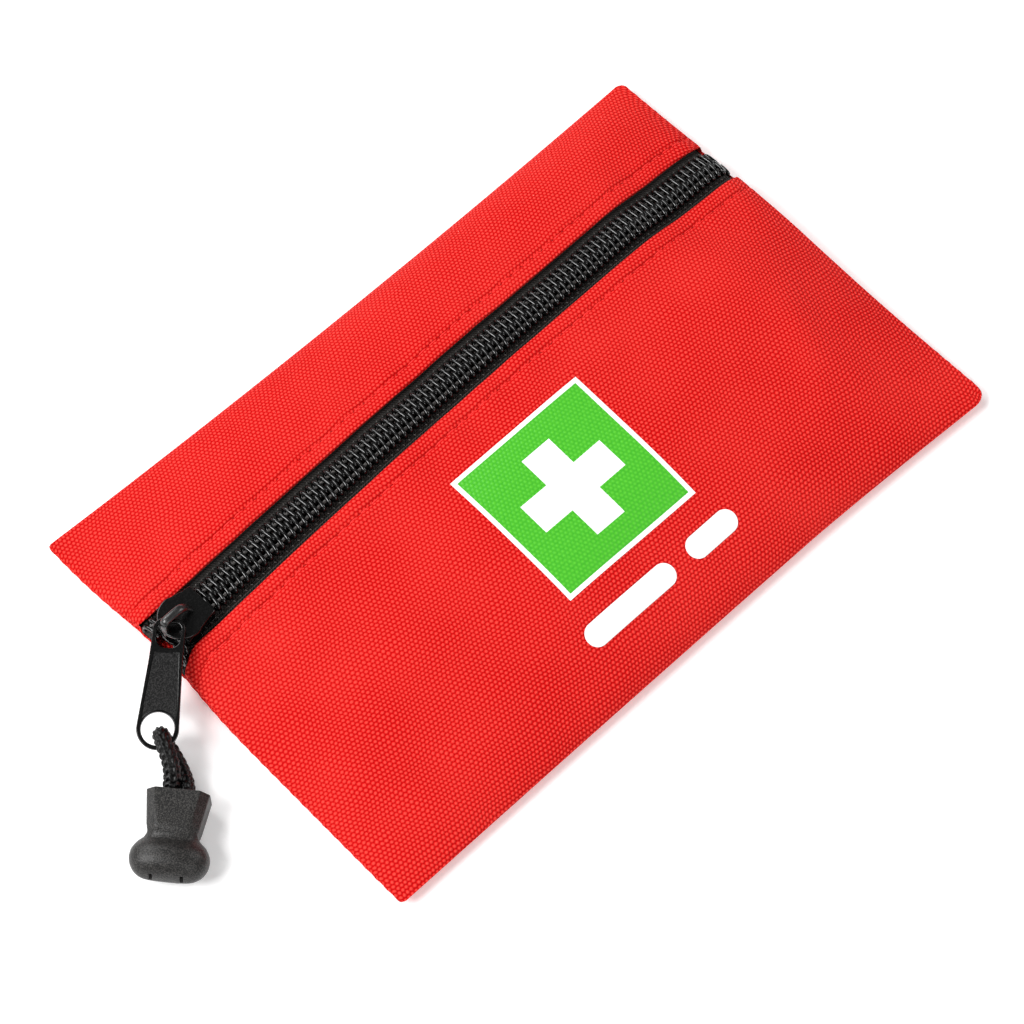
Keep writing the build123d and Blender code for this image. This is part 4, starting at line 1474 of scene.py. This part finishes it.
@dataclass
class CordEnd:
    """Moulded grip: a chamfered collar that narrows and swells out to a rounded bulb."""

    mouth: tuple[float, float, float] = (-90.7, -6.6, 4.2)
    yaw: float = -139.6  # degrees from X in plan
    thick: float = 8.4
    mouth_width: float = 11.6
    waist: float = 9.4
    collar: float = 7.8  # length of the collar
    neck: float = 0.4  # length between the collar and the bulb
    bulb: float = 14.6  # width of the bulb
    bulb_long: float = 8.2
    chamfer: float = 1.6
    fillet: float = 0.6
    latch_at: float = 2.8  # each latch slot's distance from the middle
    around: int = 96  # points round a section

    def section(self, far: float) -> tuple[float, float, float]:
        """The outline at a distance from the mouth, softened about the valley between collar and bulb.

        Args:
            far: Distance from the mouth.

        Returns:
            Half width, half thickness and roundness.
        """
        soft = 0.75 if self.collar - 1.5 < far < self.collar + 3.0 else 0.0
        near = [self.outline(far + soft * share) for share in (-1, -0.5, 0, 0.5, 1)]
        width, depth, turn = (sum(values) / len(near) for values in zip(*near))
        return width, depth, turn

    def outline(self, far: float) -> tuple[float, float, float]:
        """Half width, half thickness and roundness at a distance from the mouth.

        Args:
            far: Distance from the mouth.

        Returns:
            Half width, half thickness, and 0 for the collar's oblong up to 1 for the bulb's oval.
        """
        r = self.bulb_long / 2
        across = max(0.0, 1 - ((far - self.collar - self.neck - r) / r) ** 2) ** 0.5
        bulge, deep = self.bulb / 2 - r + r * across, r * across
        past = max(far - self.collar, 0.0)
        narrowing = (self.waist - self.mouth_width) * min(far / self.collar, 1)
        taper = (self.mouth_width + narrowing) / 2 - 0.9 * past
        block = self.thick / 2 - 0.3 - 0.03 * far - 1.05 * past
        width = self.blended(taper, bulge if across else 0.0)
        depth = self.blended(block, deep)
        turn = min(max((far - self.collar + 0.9) / 2.6, 0), 1)
        return width, depth, turn * turn * (3 - 2 * turn)

    def blended(self, first: float, second: float) -> float:
        """The larger of two half sizes, with the corner between them filled as a mould radius fills it."""
        gap = max(self.fillet - abs(first - second), 0.0) / self.fillet
        return max(first, second) + gap * gap * self.fillet / 4

    def ring(self, width: float, depth: float, roundness: float) -> np.ndarray:
        """Closed section: a chamfered oblong that turns to an oval.

        Args:
            width: Half width.
            depth: Half thickness.
            roundness: 0 for the oblong, 1 for the oval.

        Returns:
            The section's points in its own plane.
        """
        angle = np.linspace(0, 2 * math.pi, self.around, endpoint=False) + math.pi / self.around
        c, s = np.cos(angle), np.sin(angle)
        power = 0.88  # a little squarer than an ellipse
        wide, high = (np.sign(v) * np.abs(v) ** power for v in (c, s))
        oval = np.stack([wide * width, high * depth], -1)
        # Distance to a chamfered oblong along each ray.
        lean = s * depth / width
        dx, dy = c / np.hypot(c, lean), lean / np.hypot(c, lean)
        flat = np.minimum(width / np.maximum(abs(dx), 1e-6), depth / np.maximum(abs(dy), 1e-6))
        cut = (width + depth - self.chamfer) / np.maximum(abs(dx) + abs(dy), 1e-6)
        oblong = np.stack([dx, dy], -1) * np.minimum(flat, cut)[:, None]
        return (1 - roundness) * oblong + roundness * oval

    def build(self, finish: Finishes) -> list[bpy.types.Object]:
        """Makes the cord end with its mouth and the two latch slots at the far side.

        Args:
            finish: The pouch's materials.

        Returns:
            The pieces of the cord end.
        """
        count = self.around
        far_end = self.collar + self.neck + self.bulb_long
        # Sections stand closest together in the valley and round the bulb.
        stations = [0.0, 0.12, 0.4, *np.linspace(1.2, 7.2, 8), *np.linspace(7.5, 9.9, 18)]
        round_bulb = np.linspace(-0.55, math.pi / 2 - 0.02, 26)
        stations += list(far_end - self.bulb_long / 2 * (1 - np.sin(round_bulb)))[1:]
        yaw = math.radians(self.yaw)
        along = np.array([math.cos(yaw), math.sin(yaw), 0])
        side = np.array([-math.sin(yaw), math.cos(yaw), 0])
        up, mouth = np.array([0.0, 0.0, 1.0]), np.array(self.mouth)

        def laid(ring: np.ndarray, far: float) -> np.ndarray:
            """A section's points in the row frame."""
            return mouth + along * far + ring[:, :1] * side + ring[:, 1:] * up

        # From the bottom of the cord's hole out over its rounded lip, then along the outside.
        bore = self.ring(3.45, 1.85, 1.0)
        rows = [laid(bore, 5.0), laid(bore, 0.55), laid(self.ring(3.9, 2.3, 1.0), 0.05)]
        rows.append(laid(self.ring(*self.section(0.0)) * (1 - 0.25 / self.mouth_width * 2), 0.0))
        rows += [laid(self.ring(*self.section(far)), far) for far in stations[1:]]
        faces = grid_faces(len(rows), count, closed=True)
        last = (len(rows) - 1) * count
        faces += [tuple(range(last, last + count)), tuple(range(count))[::-1]]
        grip = mesh_piece("cord_end_grip", np.vstack(rows), faces, finish.plastic)
        grip.data.set_sharp_from_angle(angle=math.radians(28))
        cutters = []
        box = np.array([(x, y, z) for x in (0.0, 2.0) for y in (-0.3, 0.3) for z in (0.0, 1.7)])
        quads = [(0, 1, 3, 2), (4, 6, 7, 5), (0, 4, 5, 1), (2, 3, 7, 6), (0, 2, 6, 4), (1, 5, 7, 3)]
        for off in (-self.latch_at, self.latch_at):
            place = mouth + along * (far_end - 1.1) + side * off
            cutters.append((place + box[:, :1] * along + box[:, 1:2] * side + box[:, 2:] * up, quads))
        cutter = mesh_piece("latch_cutter", *joined(cutters), finish.cord)
        cut = grip.modifiers.new("latch", "BOOLEAN")
        cut.operation, cut.object, cut.solver = "DIFFERENCE", cutter, "EXACT"
        apply_modifiers(grip)
        bpy.data.objects.remove(cutter)
        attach(grip, "cord")
        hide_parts("cord_end_body", "cord_end_plug")
        log.info("cord end")
        return [grip]


# ---------------------------------------------------------------- contents
def dress_contents(finish: Finishes) -> None:
    """Gives each CAD part inside the pouch its own finish.

    Args:
        finish: The pouch's materials.
    """
    looks = {
        "leaflet": finish.paper,
        "wipe_sachets": finish.foil,
        "wound_dressing": finish.paper,
        "plaster_strips": finish.paper,
        "gauze_packs": finish.paper,
        "folded_gloves": finish.nitrile,
        "tweezers": finish.white_plastic,
        "safety_pins": finish.steel,
    }
    for name, material in looks.items():
        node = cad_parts[name]
        node.data.materials.clear()
        node.data.materials.append(material)
        log.info("contents: %s", name)


# ---------------------------------------------------------------- studio
@dataclass
class Studio:
    """White sweep, soft light from above and the camera."""

    camera_at: tuple[float, float, float] = (-213.8, -223.3, 601.7)
    back: tuple[float, float, float] = (-0.3085, -0.32465, 0.89411)
    right: tuple[float, float, float] = (0.7249, -0.68885, 0.0)
    lens: float = 125.1
    sensor: float = 36.0
    floor_half: float = 3000.0
    # The table is lit from below a little, as a light table is, so shadows stay pale.
    floor_glow: float = 0.15
    room_light: float = 0.17
    # Each softbox: name, place in metres, side in metres and power in watts.
    softboxes: tuple = (
        ("softbox_left", (-1.05, 0.4, 1.15), 0.75, 24.0),
        ("softbox_back", (-0.1, 1.25, 1.1), 0.8, 13.5),
        ("softbox_right", (1.15, -0.5, 1.1), 0.7, 7.5),
        ("softbox_front", (-0.45, -1.2, 1.0), 0.7, 5.6),
    )

    def floor(self) -> None:
        """Makes the white table."""
        # Matt white acrylic sheet: an even white with no reflections.
        material, _, shader = new_material("white_table")
        shader.inputs["Base Color"].default_value = linear("#FFFFFF")
        shader.inputs["Roughness"].default_value = 0.9
        shader.inputs["Specular IOR Level"].default_value = 0.0
        shader.inputs["Emission Color"].default_value = linear("#FFFFFF")
        shader.inputs["Emission Strength"].default_value = self.floor_glow
        size = self.floor_half
        corners = np.array([(-size, -size, 0), (size, -size, 0), (size, size, 0), (-size, size, 0)])
        mesh_piece("table_top", corners, [(0, 1, 2, 3)], material)

    def light(self, name: str, place: tuple, size: float, power: float) -> None:
        """Adds one softbox that faces the pouch.

        Args:
            name: The light's name.
            place: Where it hangs, in metres.
            size: Its side in metres.
            power: Its power in watts.
        """
        lamp = bpy.data.lights.new(name, "AREA")
        lamp.shape = "SQUARE"
        lamp.size = size
        lamp.energy = power
        holder = bpy.data.objects.new(name, lamp)
        holder.location = place
        holder.rotation_euler = (Vector(place)).to_track_quat("Z", "Y").to_euler()
        bpy.context.scene.collection.objects.link(holder)

    def build(self) -> None:
        """Makes the table, lights, backdrop light and camera."""
        self.floor()
        for softbox in self.softboxes:
            self.light(*softbox)
        world = bpy.data.worlds.new("studio")
        world.use_nodes = True
        sky = world.node_tree.nodes["Background"]
        sky.inputs["Color"].default_value = linear("#FFFFFF")
        sky.inputs["Strength"].default_value = self.room_light
        scene = bpy.context.scene
        scene.world = world
        scene.view_settings.view_transform = "Standard"
        scene.view_settings.look = "None"
        lens = bpy.data.cameras.new("camera")
        lens.lens, lens.sensor_width = self.lens, self.sensor
        lens.clip_start, lens.clip_end = 0.01, 20
        camera = bpy.data.objects.new("camera", lens)
        right, back = Vector(self.right).normalized(), Vector(self.back).normalized()
        up = back.cross(right)
        turn = Matrix((right, up, back)).transposed().to_4x4()
        camera.matrix_world = Matrix.Translation(Vector(self.camera_at) * MM) @ turn
        scene.collection.objects.link(camera)
        scene.camera = camera
        log.info("studio")


def main() -> None:
    """Builds the pouch piece by piece."""
    logging.basicConfig(level=logging.INFO, format="%(message)s")
    finish = Finishes()
    shape = PouchShape()
    BodyCloth(shape).build(finish)
    seam = SideSeam(shape)
    seam.build(finish, -1, "seam_left", "side_seam_left")
    seam.build(finish, 1, "seam_right", "side_seam_right")
    for side in Side:
        Topstitch(shape).build(finish, side)
    ZipChain(shape).build(finish)
    SignPrint(shape).build(finish)
    Slider().build(finish)
    PullTab().build(finish)
    PullCord().build(finish, CordEnd().build(finish))
    dress_contents(finish)
    Studio().build()


if __name__ == "__main__":
    main()
